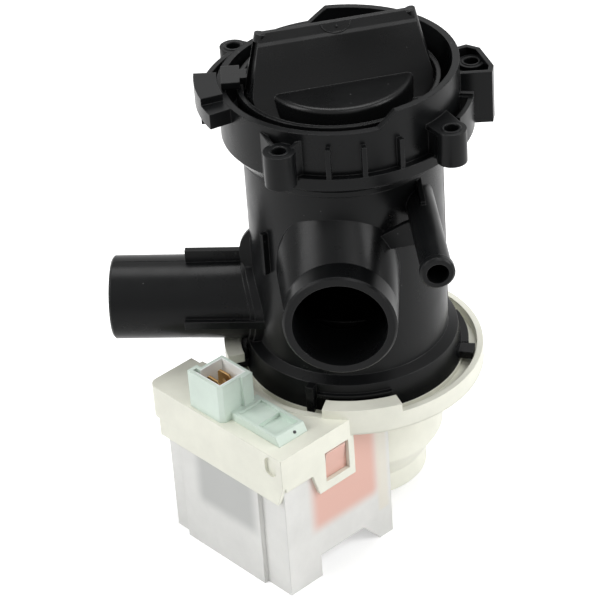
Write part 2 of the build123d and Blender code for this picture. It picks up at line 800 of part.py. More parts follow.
# Motor flange: dish, hooks, pole housing, rotor can and the bracket over the coils
can_bore = rotor_can_radius - rotor_can_wall
pole_top_z = flange_bottom
pole_cone_top = flange_bottom - pole_housing_height
pole_nose_top = pole_cone_top - pole_cone_height
with BuildPart() as motor_flange:
    with BuildSketch(block_level(bracket_top)):
        add(rectangle(-bracket_left, bracket_right, -bracket_front, -bracket_back))
    extrude(amount=-bracket_plate)
    for side, reach in ((-1, bracket_left), (1, bracket_right)):
        side_plane = Plane(origin=block.from_local_coords((side * reach, 0, 0)),
                           x_dir=block.y_dir, z_dir=-side * block.x_dir)
        with BuildSketch(side_plane) as skirt:
            with BuildLine():
                up = -side
                Polyline(
                    (-bracket_front, up * bracket_top),
                    (-bracket_front, up * (bracket_top - side_skirt_height)),
                    (-side_skirt_back, up * (bracket_top - side_skirt_height)),
                    (-clip_front, up * (bracket_top - clip_drop)),
                    (-clip_back, up * (bracket_top - clip_drop)),
                    (-clip_root_back, up * (bracket_top - clip_root_drop)),
                    (-clip_root_back, up * bracket_top),
                    close=True,
                )
            make_face()
            window_top = bracket_top - clip_window_top_drop
            window_bottom = window_top - clip_window_height
            with Locations(((-clip_window_front - clip_window_back) / 2, up * (window_top + window_bottom) / 2)):
                Rectangle(clip_window_front - clip_window_back, clip_window_height, mode=Mode.SUBTRACT)
        extrude(amount=web_wall)
    with BuildSketch(block_level(bracket_top)):
        add(rectangle(-bracket_left, bracket_right, -bracket_front, -bracket_front + web_wall))
    extrude(amount=-front_skirt_height)
    with BuildSketch(block_level(bracket_top)) as ear:
        add(rectangle(-bracket_left - ear_reach, -bracket_left + web_wall, -ear_front, -ear_back))
        fillet(ear.vertices().sort_by(Axis.X)[:2].sort_by(Axis.Y)[0], ear_round)
    extrude(amount=-ear_height)
    with BuildSketch(block_level(bracket_top - web_wall)) as ear_hollow:
        add(rectangle(-bracket_left - ear_reach + web_wall, -bracket_left,
                      -ear_front + web_wall, -ear_back - web_wall))
        fillet(ear_hollow.vertices().sort_by(Axis.X)[:2].sort_by(Axis.Y)[0], ear_round - web_wall)
    extrude(amount=-ear_height, mode=Mode.SUBTRACT)
    # Low step behind the ear and slanting corner of the front skirt
    with BuildSketch(block_level(bracket_top)):
        add(rectangle(-bracket_left - overrun, -left_notch_side, -left_notch_front, -clip_root_back + overrun))
    extrude(amount=-left_notch_depth, mode=Mode.SUBTRACT)
    with BuildSketch(Plane(origin=block.from_local_coords((0, -bracket_front, 0)), x_dir=block.x_dir,
                           z_dir=-block.y_dir)):
        skirt_bottom_z = bracket_top - front_skirt_height
        with BuildLine():
            Polyline(
                (bracket_right - skirt_corner_run, skirt_bottom_z - overrun),
                (bracket_right + overrun, skirt_bottom_z - overrun),
                (bracket_right + overrun, skirt_bottom_z + skirt_corner_rise),
                (bracket_right, skirt_bottom_z + skirt_corner_rise),
                (bracket_right - skirt_corner_run, skirt_bottom_z),
                close=True,
            )
        make_face()
    extrude(amount=-web_wall, mode=Mode.SUBTRACT)
    # Room for the body and its lugs inside the dish wall
    with BuildSketch(level(flange_top)):
        Circle(flange_radius - flange_wall)
    extrude(amount=flange_wall_height + overrun, mode=Mode.SUBTRACT)
    with BuildSketch(level(flange_bottom)):
        Circle(flange_radius)
    extrude(amount=flange_plate)
    with BuildSketch(level(flange_bottom)):
        Circle(flange_seat_radius)
    extrude(amount=flange_plate + flange_seat_height)
    with BuildSketch(level(flange_bottom)):
        Circle(flange_radius)
        Circle(flange_radius - flange_wall, mode=Mode.SUBTRACT)
    extrude(amount=flange_wall_height)
    hook_root = flange_bottom + flange_wall_height
    for spans, height, lip_height in (
        (low_hook_spans, low_hook_height, low_hook_lip_height),
        (tall_hook_spans, tall_hook_height, tall_hook_lip_height),
    ):
        for start, end in spans:
            with BuildSketch(level(hook_root)):
                add(sector(flange_radius - flange_wall, flange_radius, start, end))
            extrude(amount=height)
            with BuildSketch(level(hook_root + height)):
                add(sector(flange_radius - flange_wall - hook_lip, flange_radius, start, end))
            extrude(amount=-lip_height)
    # Pole housing, open towards the coils
    with BuildSketch(Plane.XZ):
        with BuildLine():
            Polyline((0, pole_top_z), (pole_housing_radius, pole_top_z), (pole_housing_radius, pole_cone_top),
                     (pole_nose_radius, pole_nose_top), (pole_nose_radius, pole_floor_z),
                     (0, pole_floor_z), (0, pole_top_z))
        make_face()
        fillet(vertices().group_by(Axis.Z)[0].sort_by(Axis.X)[-1], pole_nose_round)
    revolve(axis=Axis.Z)
    with BuildSketch(Plane.XZ):
        with BuildLine():
            Polyline((0, pole_top_z), (pole_housing_radius - pole_wall, pole_top_z),
                     (pole_housing_radius - pole_wall, pole_cone_top),
                     (pole_nose_radius - pole_wall, pole_nose_top),
                     (pole_nose_radius - pole_wall, can_floor_z), (0, can_floor_z), (0, pole_top_z))
        make_face()
    revolve(axis=Axis.Z, mode=Mode.SUBTRACT)
    with BuildSketch(block_level(flange_bottom)):
        add(rectangle(-pole_housing_radius - overrun, pole_housing_radius + overrun,
                      -pole_housing_radius - overrun, -pole_cut))
    extrude(amount=pole_floor_z - flange_bottom - overrun, mode=Mode.SUBTRACT)
    with BuildSketch(level(pole_floor_z)):
        Circle(rotor_can_radius)
    extrude(amount=flange_bottom - pole_floor_z)
    with BuildSketch(level(can_floor_z)):
        Circle(can_bore)
    extrude(amount=flange_seat - can_floor_z, mode=Mode.SUBTRACT)
    with BuildSketch(level(flange_seat)):
        Circle(holder_lip_radius + seal_play)
    extrude(amount=-flange_seat_height, mode=Mode.SUBTRACT)
    with BuildSketch(level(can_floor_z)):
        Circle(bearing_post_radius)
        Circle(bearing_post_radius - bearing_post_wall, mode=Mode.SUBTRACT)
    extrude(amount=bearing_length)
    # Window for the connector's post and the shallow oval recess beside it
    with BuildSketch(block_level(bracket_top)):
        add(rectangle(-connector_left + connector_wall, connector_right - connector_wall,
                      -connector_front + connector_wall, -connector_back - connector_wall))
    extrude(amount=-bracket_plate, mode=Mode.SUBTRACT)
    front_face = Plane(origin=block.from_local_coords((0, -bracket_front, 0)), x_dir=block.x_dir,
                       z_dir=-block.y_dir)
    with BuildSketch(front_face):
        with Locations((recess_s, bracket_top - recess_drop - recess_height / 2)):
            SlotOverall(recess_height, recess_width, rotation=90)
    extrude(amount=-recess_depth, mode=Mode.SUBTRACT)
    # Keeper that stands beside the connector's step
    with BuildSketch(block_level(bracket_top)):
        add(rectangle(-connector_left - slip_gap - keeper_wall, -connector_left - slip_gap,
                      -keeper_front, -keeper_back))
    extrude(amount=keeper_height)
save(motor_flange, "motor_flange")

# Coil cover: a shell with two feet, a raised front panel and two catches
with BuildPart() as coil_cover:
    with BuildSketch(block_level(foot_z)):
        add(rectangle(-cover_half_width, cover_half_width, -cover_front, -cover_back))
    extrude(amount=cover_height)
    with BuildSketch(block_level(foot_z)):
        add(rectangle(-panel_left, panel_right, -cover_front - panel_proud, -cover_front))
    extrude(amount=panel_height)
    with BuildSketch(block_level(foot_z + cover_wall)):
        add(rectangle(-cover_half_width + cover_wall, cover_half_width - cover_wall,
                      -cover_front + cover_wall, -cover_back - cover_wall))
    extrude(amount=cover_height, mode=Mode.SUBTRACT)
    with BuildSketch(block_level(foot_z + cover_wall)):
        add(rectangle(-panel_left + cover_wall, panel_right - cover_wall,
                      -cover_front - panel_proud + cover_wall, -cover_front + cover_wall))
    extrude(amount=panel_height - 2 * cover_wall, mode=Mode.SUBTRACT)
    arch_side = Plane(origin=(0, 0, 0), x_dir=block.y_dir, z_dir=block.x_dir)
    with BuildSketch(arch_side) as arch_floor:
        with BuildLine():
            Polyline(
                (-arch_front - cover_wall, foot_z),
                (-arch_front - cover_wall, foot_z + arch_height + cover_wall),
                (-arch_top_back + cover_wall, foot_z + arch_height + cover_wall),
                (-arch_foot_back + cover_wall, foot_z),
                close=True,
            )
        make_face()
    extrude(amount=cover_half_width, both=True)
    with BuildSketch(arch_side) as arch_hollow:
        with BuildLine():
            Polyline(
                (-arch_front, foot_z - overrun),
                (-arch_front, foot_z + arch_height),
                (-arch_top_back, foot_z + arch_height),
                (-arch_foot_back, foot_z - overrun),
                close=True,
            )
        make_face()
    extrude(amount=cover_half_width + overrun, both=True, mode=Mode.SUBTRACT)
    with BuildSketch(block_level(foot_z + cover_window_floor)):
        add(rectangle(-cover_window_half, cover_window_half, -cover_back - cover_wall - overrun,
                      -cover_back + overrun))
    extrude(amount=cover_height, mode=Mode.SUBTRACT)
    catch_plane = Plane(origin=block.from_local_coords((0, 0, 0)), x_dir=block.x_dir, z_dir=-block.y_dir)
    for side in (-1, 1):
        with BuildSketch(catch_plane.offset(clip_window_back + catch_play)):
            with BuildLine():
                Polyline(
                    (side * (cover_half_width - overrun / 2), window_top - catch_play),
                    (side * (cover_half_width + catch_proud), window_top - catch_play),
                    (side * (cover_half_width - overrun / 2), window_bottom + catch_play),
                    close=True,
                )
            make_face()
        extrude(amount=clip_window_front - clip_window_back - 2 * catch_play)
save(coil_cover, "coil_cover")

# Stator core: a U of stacked sheet whose leg tips embrace the rotor can
rivet_places = (
    (-(leg_inner + leg_outer) / 2, -(yoke_front + yoke_back) / 2),
    ((leg_inner + leg_outer) / 2, -(yoke_front + yoke_back) / 2),
    (-leg_outer + 2 * rivet_radius, rivet_leg_t),
    (leg_outer - 2 * rivet_radius, rivet_leg_t),
)
with BuildPart() as stator_core:
    with BuildSketch(block_level(core_bottom)):
        add(rectangle(-leg_outer, leg_outer, -yoke_front, -yoke_back))
        for side in (-1, 1):
            add(rectangle(side * leg_inner, side * leg_outer, -yoke_back - overrun, leg_tip))
        Circle(pole_arc_radius, mode=Mode.SUBTRACT)
        with Locations(*rivet_places):
            Circle(rivet_radius, mode=Mode.SUBTRACT)
    extrude(amount=core_stack)
save(stator_core, "stator_core")

with BuildPart() as core_rivets:
    with BuildSketch(block_level(core_bottom)):
        with Locations(*rivet_places):
            Circle(rivet_radius)
    extrude(amount=core_stack)
    for start, rise in ((core_bottom, -rivet_head_height), (core_top, rivet_head_height)):
        with BuildSketch(block_level(start)):
            with Locations(*rivet_places):
                Circle(rivet_head_radius)
        extrude(amount=rise)
save(core_rivets, "core_rivets")

# Bobbins and their taped coils, one on each leg
leg_middle = (leg_inner + leg_outer) / 2
leg_half = (leg_outer - leg_inner) / 2
for number, side in ((1, -1), (2, 1)):
    leg_plane = Plane(origin=block.from_local_coords((side * leg_middle, -bobbin_back, core_middle)),
                      x_dir=block.x_dir, z_dir=-block.y_dir)
    bobbin_length = bobbin_front - bobbin_back
    tube_width = 2 * (leg_half + slip_gap)
    tube_height = core_stack + 2 * slip_gap
    with BuildPart() as bobbin:
        with BuildSketch(leg_plane):
            Rectangle(tube_width + 2 * bobbin_wall, tube_height + 2 * bobbin_wall)
        extrude(amount=bobbin_length)
        for start in (0, bobbin_length - bobbin_flange):
            with BuildSketch(leg_plane.offset(start)):
                Rectangle(2 * bobbin_half_width, bobbin_height)
            extrude(amount=bobbin_flange)
        with BuildSketch(leg_plane):
            Rectangle(tube_width, tube_height)
        extrude(amount=bobbin_length, mode=Mode.SUBTRACT)
    save(bobbin, f"bobbin_{number}")
    with BuildPart() as coil:
        with BuildSketch(leg_plane.offset(bobbin_flange)):
            RectangleRounded(2 * (bobbin_half_width - coil_inset), bobbin_height - 2 * coil_inset, 4 * overrun)
            Rectangle(tube_width + 2 * bobbin_wall, tube_height + 2 * bobbin_wall, mode=Mode.SUBTRACT)
        extrude(amount=bobbin_length - 2 * bobbin_flange)
    save(coil, f"coil_{number}")

# Terminal housing: socket, tray and the post that stands on the bobbins
socket_floor_z = bracket_top + connector_floor
blade_middle_s = (connector_right - connector_left) / 2
blade_middle_t = -(connector_front + connector_back) / 2
with BuildPart() as terminal_housing:
    # Outline with a step on the left, a cut corner and a key on the right
    with BuildSketch(block_level(bracket_top)):
        with BuildLine():
            Polyline(
                (-connector_left, -connector_front),
                (connector_right - connector_corner, -connector_front),
                (connector_right, -connector_front + connector_corner),
                (connector_right, -connector_key_front),
                (connector_right + connector_key, -connector_key_front),
                (connector_right + connector_key, -connector_back),
                (-connector_left + connector_step, -connector_back),
                (-connector_left + connector_step, -connector_step_back),
                (-connector_left, -connector_step_back),
                close=True,
            )
        make_face()
    extrude(amount=connector_height)
    with BuildSketch(block_level(socket_floor_z)):
        add(rectangle(-connector_left + connector_step + connector_wall, connector_right - connector_wall,
                      -connector_front + connector_wall, -connector_back - connector_wall))
        add(rectangle(-connector_left + connector_wall, connector_right - 2 * connector_wall,
                      -connector_front + connector_wall, -connector_step_back - connector_wall))
    extrude(amount=connector_height, mode=Mode.SUBTRACT)
    # Tray: a plateau beside the socket, a pocket behind it and a bevelled end
    tray_side = Plane(origin=block.from_local_coords((0, -tray_front, 0)), x_dir=block.x_dir,
                      z_dir=-block.y_dir)
    with BuildSketch(tray_side):
        with BuildLine():
            Polyline(
                (connector_right - overrun, bracket_top),
                (connector_right - overrun, bracket_top + tray_height),
                (tray_right - tray_bevel, bracket_top + tray_height),
                (tray_right, bracket_top),
                close=True,
            )
        make_face()
    extrude(amount=tray_back - tray_front)
    tray_pockets = (
        (connector_right + connector_key + tray_rim, tray_plateau_end, tray_plateau_drop),
        (tray_plateau_end, tray_right - tray_bevel - tray_rim, tray_depth),
    )
    for start, end, depth in tray_pockets:
        with BuildSketch(block_level(bracket_top + tray_height)):
            add(rectangle(start, end, -tray_front + tray_rim, -tray_back - tray_rim))
        extrude(amount=-depth, mode=Mode.SUBTRACT)
    with BuildSketch(block_level(bracket_top)):
        add(rectangle(-connector_left + connector_wall + slip_gap, connector_right - connector_wall - slip_gap,
                      -cover_front + cover_wall + slip_gap,
                      -connector_back - connector_wall - slip_gap))
    extrude(amount=-connector_post)
    for place in (-1, 1):
        with BuildSketch(block_level(socket_floor_z)):
            with Locations((blade_middle_s, blade_middle_t + place * blade_pitch / 2)):
                Rectangle(blade_width, blade_thickness)
        extrude(amount=-blade_tail - connector_floor / 2, mode=Mode.SUBTRACT)
save(terminal_housing, "terminal_housing")

for number, place in ((1, -1), (2, 1)):
    blade_t = blade_middle_t + place * blade_pitch / 2
    with BuildPart() as blade:
        blade_plane = Plane(origin=block.from_local_coords((blade_middle_s, blade_t, 0)),
                            x_dir=block.x_dir, z_dir=-block.y_dir)
        blade_top = bracket_top + blade_height
        blade_bottom = socket_floor_z - blade_tail - connector_floor / 2
        with BuildSketch(blade_plane):
            with Locations((0, (blade_top + blade_bottom) / 2)):
                Rectangle(blade_width, blade_top - blade_bottom)
            chamfer(vertices().group_by(Axis.Y)[-1], blade_thickness)
            with Locations((0, blade_top - blade_width / 2)):
                Circle(blade_hole_radius, mode=Mode.SUBTRACT)
        extrude(amount=blade_thickness / 2, both=True)
    save(blade, f"terminal_blade_{number}")

# Bearings
with BuildPart() as bearing_holder:
    with BuildSketch(level(flange_top)):
        Circle(holder_lip_radius)
    extrude(amount=holder_lip_height)
    with BuildSketch(level(flange_seat - holder_depth)):
        Circle(can_bore - seal_play)
    extrude(amount=holder_depth - flange_seat_height)
    with BuildSketch(level(flange_seat - holder_depth)):
        Circle(bearing_radius - holder_floor)
    extrude(amount=holder_depth, mode=Mode.SUBTRACT)
    with BuildSketch(level(flange_seat - holder_depth + holder_floor)):
        Circle(bearing_radius)
    extrude(amount=holder_depth, mode=Mode.SUBTRACT)
save(bearing_holder, "bearing_holder")

front_bearing_z = flange_seat - holder_depth + holder_floor
for name, start in (("front_bearing", front_bearing_z), ("rear_bearing", can_floor_z)):
    with BuildPart() as bearing:
        with BuildSketch(level(start)):
            Circle(bearing_radius)
            Circle(shaft_radius + running_gap, mode=Mode.SUBTRACT)
        extrude(amount=bearing_length)
    save(bearing, name)

with BuildPart() as rear_bearing_mount:
    with BuildSketch(level(can_floor_z)):
        Circle(bearing_mount_radius)
        Circle(bearing_radius, mode=Mode.SUBTRACT)
    extrude(amount=bearing_length)
save(rear_bearing_mount, "rear_bearing_mount")

# Rotor: shaft, magnet in its sleeve, thrust washers and the drive dog
impeller_bottom = flange_seat + impeller_lift
dog_bottom = impeller_bottom + impeller_cover_height + slip_gap
dog_height = dog_chamber_height - impeller_cover_height - 2 * slip_gap
rear_washer_z = rear_bearing_top + slip_gap
sleeve_bottom = rear_washer_z + washer_height
magnet_bottom = sleeve_bottom + sleeve_end
magnet_top = magnet_bottom + magnet_height
sleeve_top = magnet_top + sleeve_end
with BuildPart() as rotor_shaft:
    with BuildSketch(level(can_floor_z + slip_gap)):
        Circle(shaft_radius)
    extrude(amount=flange_seat + shaft_top_rise - can_floor_z - slip_gap)
save(rotor_shaft, "rotor_shaft")

with BuildPart() as rotor_magnet:
    with BuildSketch(level(magnet_bottom)):
        Circle(magnet_radius)
        Circle(shaft_radius, mode=Mode.SUBTRACT)
    extrude(amount=magnet_height)
save(rotor_magnet, "rotor_magnet")

with BuildPart() as rotor_sleeve:
    with BuildSketch(level(sleeve_bottom)):
        Circle(magnet_radius + sleeve_wall)
        Circle(shaft_radius, mode=Mode.SUBTRACT)
    extrude(amount=sleeve_top - sleeve_bottom)
    with BuildSketch(level(magnet_bottom)):
        Circle(magnet_radius)
    extrude(amount=magnet_height, mode=Mode.SUBTRACT)
save(rotor_sleeve, "rotor_sleeve")

for name, start in (("thrust_washer_front", sleeve_top), ("thrust_washer_rear", rear_washer_z)):
    with BuildPart() as washer:
        with BuildSketch(level(start)):
            Circle(washer_radius)
            Circle(shaft_radius, mode=Mode.SUBTRACT)
        extrude(amount=washer_height)
    save(washer, name)

with BuildPart() as drive_dog:
    with BuildSketch(level(dog_bottom)):
        Circle(shaft_radius + hub_wall)
        add(sector(shaft_radius, hub_radius - hub_wall - dog_gap, -dog_angle / 2, dog_angle / 2))
        Circle(shaft_radius, mode=Mode.SUBTRACT)
    extrude(amount=dog_height)
save(drive_dog, "drive_dog")

# Impeller: the stop in its hub follows the dog with lost motion
stop_middle = -dog_angle - dog_play_angle
with BuildPart() as impeller:
    with BuildSketch(level(impeller_bottom)):
        Circle(hub_radius)
        with PolarLocations(0, impeller_blade_count):
            with Locations((impeller_radius / 2, 0)):
                Rectangle(impeller_radius, impeller_blade_wall)
    extrude(amount=impeller_height)
    with BuildSketch(level(impeller_bottom)):
        Circle(hub_radius - hub_wall)
    extrude(amount=dog_chamber_height, mode=Mode.SUBTRACT)
    with BuildSketch(level(impeller_bottom + impeller_cover_height)):
        add(sector(shaft_radius + hub_wall + dog_gap, hub_radius - hub_wall / 2,
                   stop_middle - dog_angle / 2, stop_middle + dog_angle / 2))
    extrude(amount=dog_chamber_height - impeller_cover_height)
    with BuildSketch(level(impeller_bottom)):
        Circle(shaft_radius + running_gap)
    extrude(amount=impeller_height - overrun, mode=Mode.SUBTRACT)
save(impeller, "impeller")

with BuildPart() as impeller_cover:
    with BuildSketch(level(impeller_bottom)):
        Circle(hub_radius - hub_wall)
        Circle(shaft_radius + slip_gap, mode=Mode.SUBTRACT)
    extrude(amount=impeller_cover_height)
save(impeller_cover, "impeller_cover")

# Wing grip of the cap: concave faces from the crease up to a shoulder and a lip
grip = Plane(origin=(0, 0, 0), x_dir=(cos(radians(grip_angle)), sin(radians(grip_angle)), 0))
grip_top = cap_top_z + grip_rise
lip_bottom = grip_top - grip_lip_height
shoulder_z = lip_bottom - grip_shoulder_height
pad_top = cap_top_z + pad_rise
cap_underside = moat_z - cap_plate
wing_across = Plane(origin=(0, 0, 0), x_dir=grip.y_dir, z_dir=grip.x_dir)
wing_along = Plane(origin=(0, 0, 0), x_dir=grip.x_dir, z_dir=-grip.y_dir)
with BuildPart() as grip_wing:
    with BuildSketch(wing_across):
        with BuildLine():
            Polyline(
                (0, cap_underside),
                (grip_foot_half_width, cap_underside),
                (grip_foot_half_width, moat_z),
            )
            ThreePointArc(
                (grip_foot_half_width, moat_z),
                (grip_flare, pad_top),
                (grip_shoulder / 2, shoulder_z),
            )
            Polyline(
                (grip_shoulder / 2, shoulder_z),
                (grip_lip / 2, lip_bottom),
                (grip_crest / 2, grip_top),
                (0, grip_top),
                (0, cap_underside),
            )
        make_face()
        mirror(about=Plane.YZ)
    extrude(amount=grip_foot_radius + overrun, both=True)
    with BuildSketch(wing_along):
        with BuildLine():
            Polyline(
                (-grip_foot_radius - overrun, cap_underside),
                (-grip_foot_radius - overrun, moat_z),
                (-grip_base_length / 2, pad_top),
                (-grip_top_length / 2, grip_top),
                (grip_top_length / 2, grip_top),
                (grip_base_length / 2, pad_top),
                (grip_foot_radius + overrun, moat_z),
                (grip_foot_radius + overrun, cap_underside),
                close=True,
            )
        make_face()
    extrude(amount=grip_foot_half_width + overrun, both=True, mode=Mode.INTERSECT)
    with Locations((0, 0, (grip_top + cap_underside) / 2)):
        Cylinder(grip_foot_radius, grip_top - cap_underside, mode=Mode.INTERSECT)
    # Round post with a groove down each end
    for side in (-1, 1):
        end_run = (grip_base_length - grip_top_length) / 2
        end_tilt = degrees(atan2(end_run, grip_top - pad_top))
        end_foot = grip.from_local_coords((side * grip_top_length / 2, 0, grip_top))
        end_plane = Plane(origin=end_foot, x_dir=grip.y_dir, z_dir=(
            -side * sin(radians(end_tilt)) * grip.x_dir + Vector(0, 0, cos(radians(end_tilt)))))
        with BuildSketch(end_plane):
            with Locations((0, side * grip_end_inset)):
                Circle(grip_end_radius)
        extrude(amount=pad_top - grip_top - overrun)
        groove_x = side * grip_groove_reach * sin(radians(grip_groove_angle))
        groove_y = side * (grip_end_inset - grip_groove_reach * cos(radians(grip_groove_angle)))
        with BuildSketch(end_plane.offset(-grip_lip_height)):
            with Locations((groove_x, groove_y)):
                Circle(grip_groove_radius)
        extrude(amount=pad_top - grip_top, mode=Mode.SUBTRACT)

# Filter cap: rim, moat, raised pad, wing grip, stop arm and sealing skirt
with BuildPart() as filter_cap:
    with BuildSketch(level(cap_top_z)):
        Circle(cap_rim_radius)
    extrude(amount=cap_underside - cap_top_z)
    with BuildSketch(level(cap_top_z)):
        Circle(cap_rim_radius - cap_rim_wall)
    extrude(amount=-cap_moat_depth, mode=Mode.SUBTRACT)
    with BuildSketch(level(moat_z)):
        Circle(pad_radius)
    extrude(amount=pad_top - moat_z, taper=pad_draft_angle)
    fillet(edges().filter_by(GeomType.CIRCLE).group_by(Axis.Z)[-1], pad_round)
    add(grip_wing.part)
    # Stop arm that sweeps over the low rim
    arm_bottom = low_rim_height + arm_gap
    arm = Plane(origin=(0, 0, 0), x_dir=(cos(radians(arm_angle)), sin(radians(arm_angle)), 0))
    with BuildSketch(arm.offset(arm_bottom)):
        add(rectangle(arm_inner, arm_block_inner + overrun, -arm_tongue_width / 2, arm_tongue_width / 2))
        add(rectangle(arm_block_inner, arm_reach, -arm_block_width / 2, arm_block_width / 2))
    extrude(amount=arm_height)
    with BuildSketch(arm.offset(moat_z)):
        add(rectangle(arm_inner - overrun, arm_block_inner - overrun, -web_wall / 2, web_wall / 2))
    extrude(amount=arm_bottom - moat_z)
    # Skirt with the seal's groove and the socket for the filter's stud
    with BuildSketch(level(cap_underside)):
        Circle(cap_skirt_radius)
    extrude(amount=skirt_bottom - cap_underside)
    with BuildSketch(level(skirt_bottom)):
        Circle(cap_skirt_radius - cap_skirt_wall)
    extrude(amount=cap_underside - skirt_bottom, mode=Mode.SUBTRACT)
    with BuildSketch(level(skirt_bottom + strainer_disc + slip_gap)):
        Circle(stud_radius + running_gap + stud_wall)
    extrude(amount=cap_underside - skirt_bottom - strainer_disc - slip_gap)
    with BuildSketch(level(skirt_bottom)):
        Circle(stud_radius + running_gap)
    extrude(amount=strainer_disc + stud_height + slip_gap, mode=Mode.SUBTRACT)
    seal_middle = cap_top_z - cap_seal_drop
    with BuildSketch(level(seal_middle - cap_seal_section / 2)):
        Circle(cap_skirt_radius + overrun)
        Circle(cap_skirt_radius - cap_skirt_wall / 2, mode=Mode.SUBTRACT)
    extrude(amount=cap_seal_section, mode=Mode.SUBTRACT)
save(filter_cap, "filter_cap")

with BuildPart() as cap_seal:
    with BuildSketch(level(seal_middle - cap_seal_section / 2)):
        Circle(filter_bore_radius - slip_gap)
        Circle(cap_skirt_radius - cap_skirt_wall / 2, mode=Mode.SUBTRACT)
    extrude(amount=cap_seal_section)
save(cap_seal, "cap_seal")

# Filter strainer: a cage that hangs from the cap by its stud
cage_bottom = skirt_bottom - strainer_length
with BuildPart() as filter_strainer:
    with BuildSketch(level(skirt_bottom)):
        Circle(cap_skirt_radius - cap_skirt_wall - slip_gap)
    extrude(amount=strainer_disc)
    with BuildSketch(level(skirt_bottom)):
        Circle(strainer_radius)
    extrude(amount=-strainer_disc)
    with BuildSketch(level(skirt_bottom)):
        Circle(stud_radius)
    extrude(amount=strainer_disc + stud_height)
    with BuildSketch(level(cage_bottom)):
        Circle(strainer_radius)
    extrude(amount=strainer_disc)
    bar_step = 360 / strainer_bar_count
    for index in range(strainer_bar_count):
        bar_angle = -90 + (index + 1 / 2) * bar_step
        from_inlet = abs((bar_angle + 90 + 180) % 360 - 180)
        if from_inlet > strainer_open_bars * bar_step / 2:
            half_angle = degrees(strainer_bar_width / 2 / strainer_radius)
            with BuildSketch(level(cage_bottom)):
                add(sector(strainer_radius - strainer_wall, strainer_radius,
                           bar_angle - half_angle, bar_angle + half_angle))
            extrude(amount=strainer_length)
save(filter_strainer, "filter_strainer")
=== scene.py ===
"""Washer drain pump, dressed for a studio picture around its fixed frame.

The scene is in metres. +Z runs up the pump axis; the inlet points to -Y and the
outlet to -X. The coil block is turned about the pump axis and has directions of
its own, S across the block and T along the core's legs. The sub-assemblies name
their sizes in millimetres, and points become metres where they are made.
"""

import logging
import math
from dataclasses import dataclass
from enum import Enum

import bmesh
import bpy
from mathutils import Matrix, Vector


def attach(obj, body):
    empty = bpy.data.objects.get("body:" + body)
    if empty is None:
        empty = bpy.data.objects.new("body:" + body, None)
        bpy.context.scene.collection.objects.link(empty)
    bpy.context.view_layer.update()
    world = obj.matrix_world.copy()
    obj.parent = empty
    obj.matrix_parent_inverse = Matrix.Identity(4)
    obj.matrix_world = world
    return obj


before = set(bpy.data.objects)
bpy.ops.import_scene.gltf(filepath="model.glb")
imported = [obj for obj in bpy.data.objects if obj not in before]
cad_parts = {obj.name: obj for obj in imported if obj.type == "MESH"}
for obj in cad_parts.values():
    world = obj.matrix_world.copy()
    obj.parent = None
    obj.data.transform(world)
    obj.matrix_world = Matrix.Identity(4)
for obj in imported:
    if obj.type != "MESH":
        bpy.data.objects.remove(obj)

log = logging.getLogger("pump")
logging.basicConfig(level=logging.INFO, format="%(name)s: %(message)s")

MM = 0.001
UP = Vector((0.0, 0.0, 1.0))
FLOOR_Z = -164.0 * MM
BLOCK_TURN = math.radians(-42.9)
BLOCK_S = Vector((math.cos(BLOCK_TURN), math.sin(BLOCK_TURN), 0.0))
BLOCK_T = Vector((-math.sin(BLOCK_TURN), math.cos(BLOCK_TURN), 0.0))
TWINS = ((1, -1), (2, 1))  # Number of each piece of a pair, and the side it is on

Feed = bpy.types.NodeSocket | float | tuple[float, ...]
Pair = tuple[float, float]
Point = tuple[float, float, float]


class Body(Enum):
    """The moving bodies that pieces ride on."""

    HOUSING = "housing"
    ROTOR = "rotor"
    IMPELLER = "impeller"
    FILTER = "filter"
    CAP = "cap"


class Effect(Enum):
    """The shader node groups that finishes share."""

    MOULD_SKIN = "mould_skin"
    SOFT_EDGES = "soft_edges"
    TINT_BOX_MASK = "tint_box_mask"
    DUST = "dust"


# Shader nodes


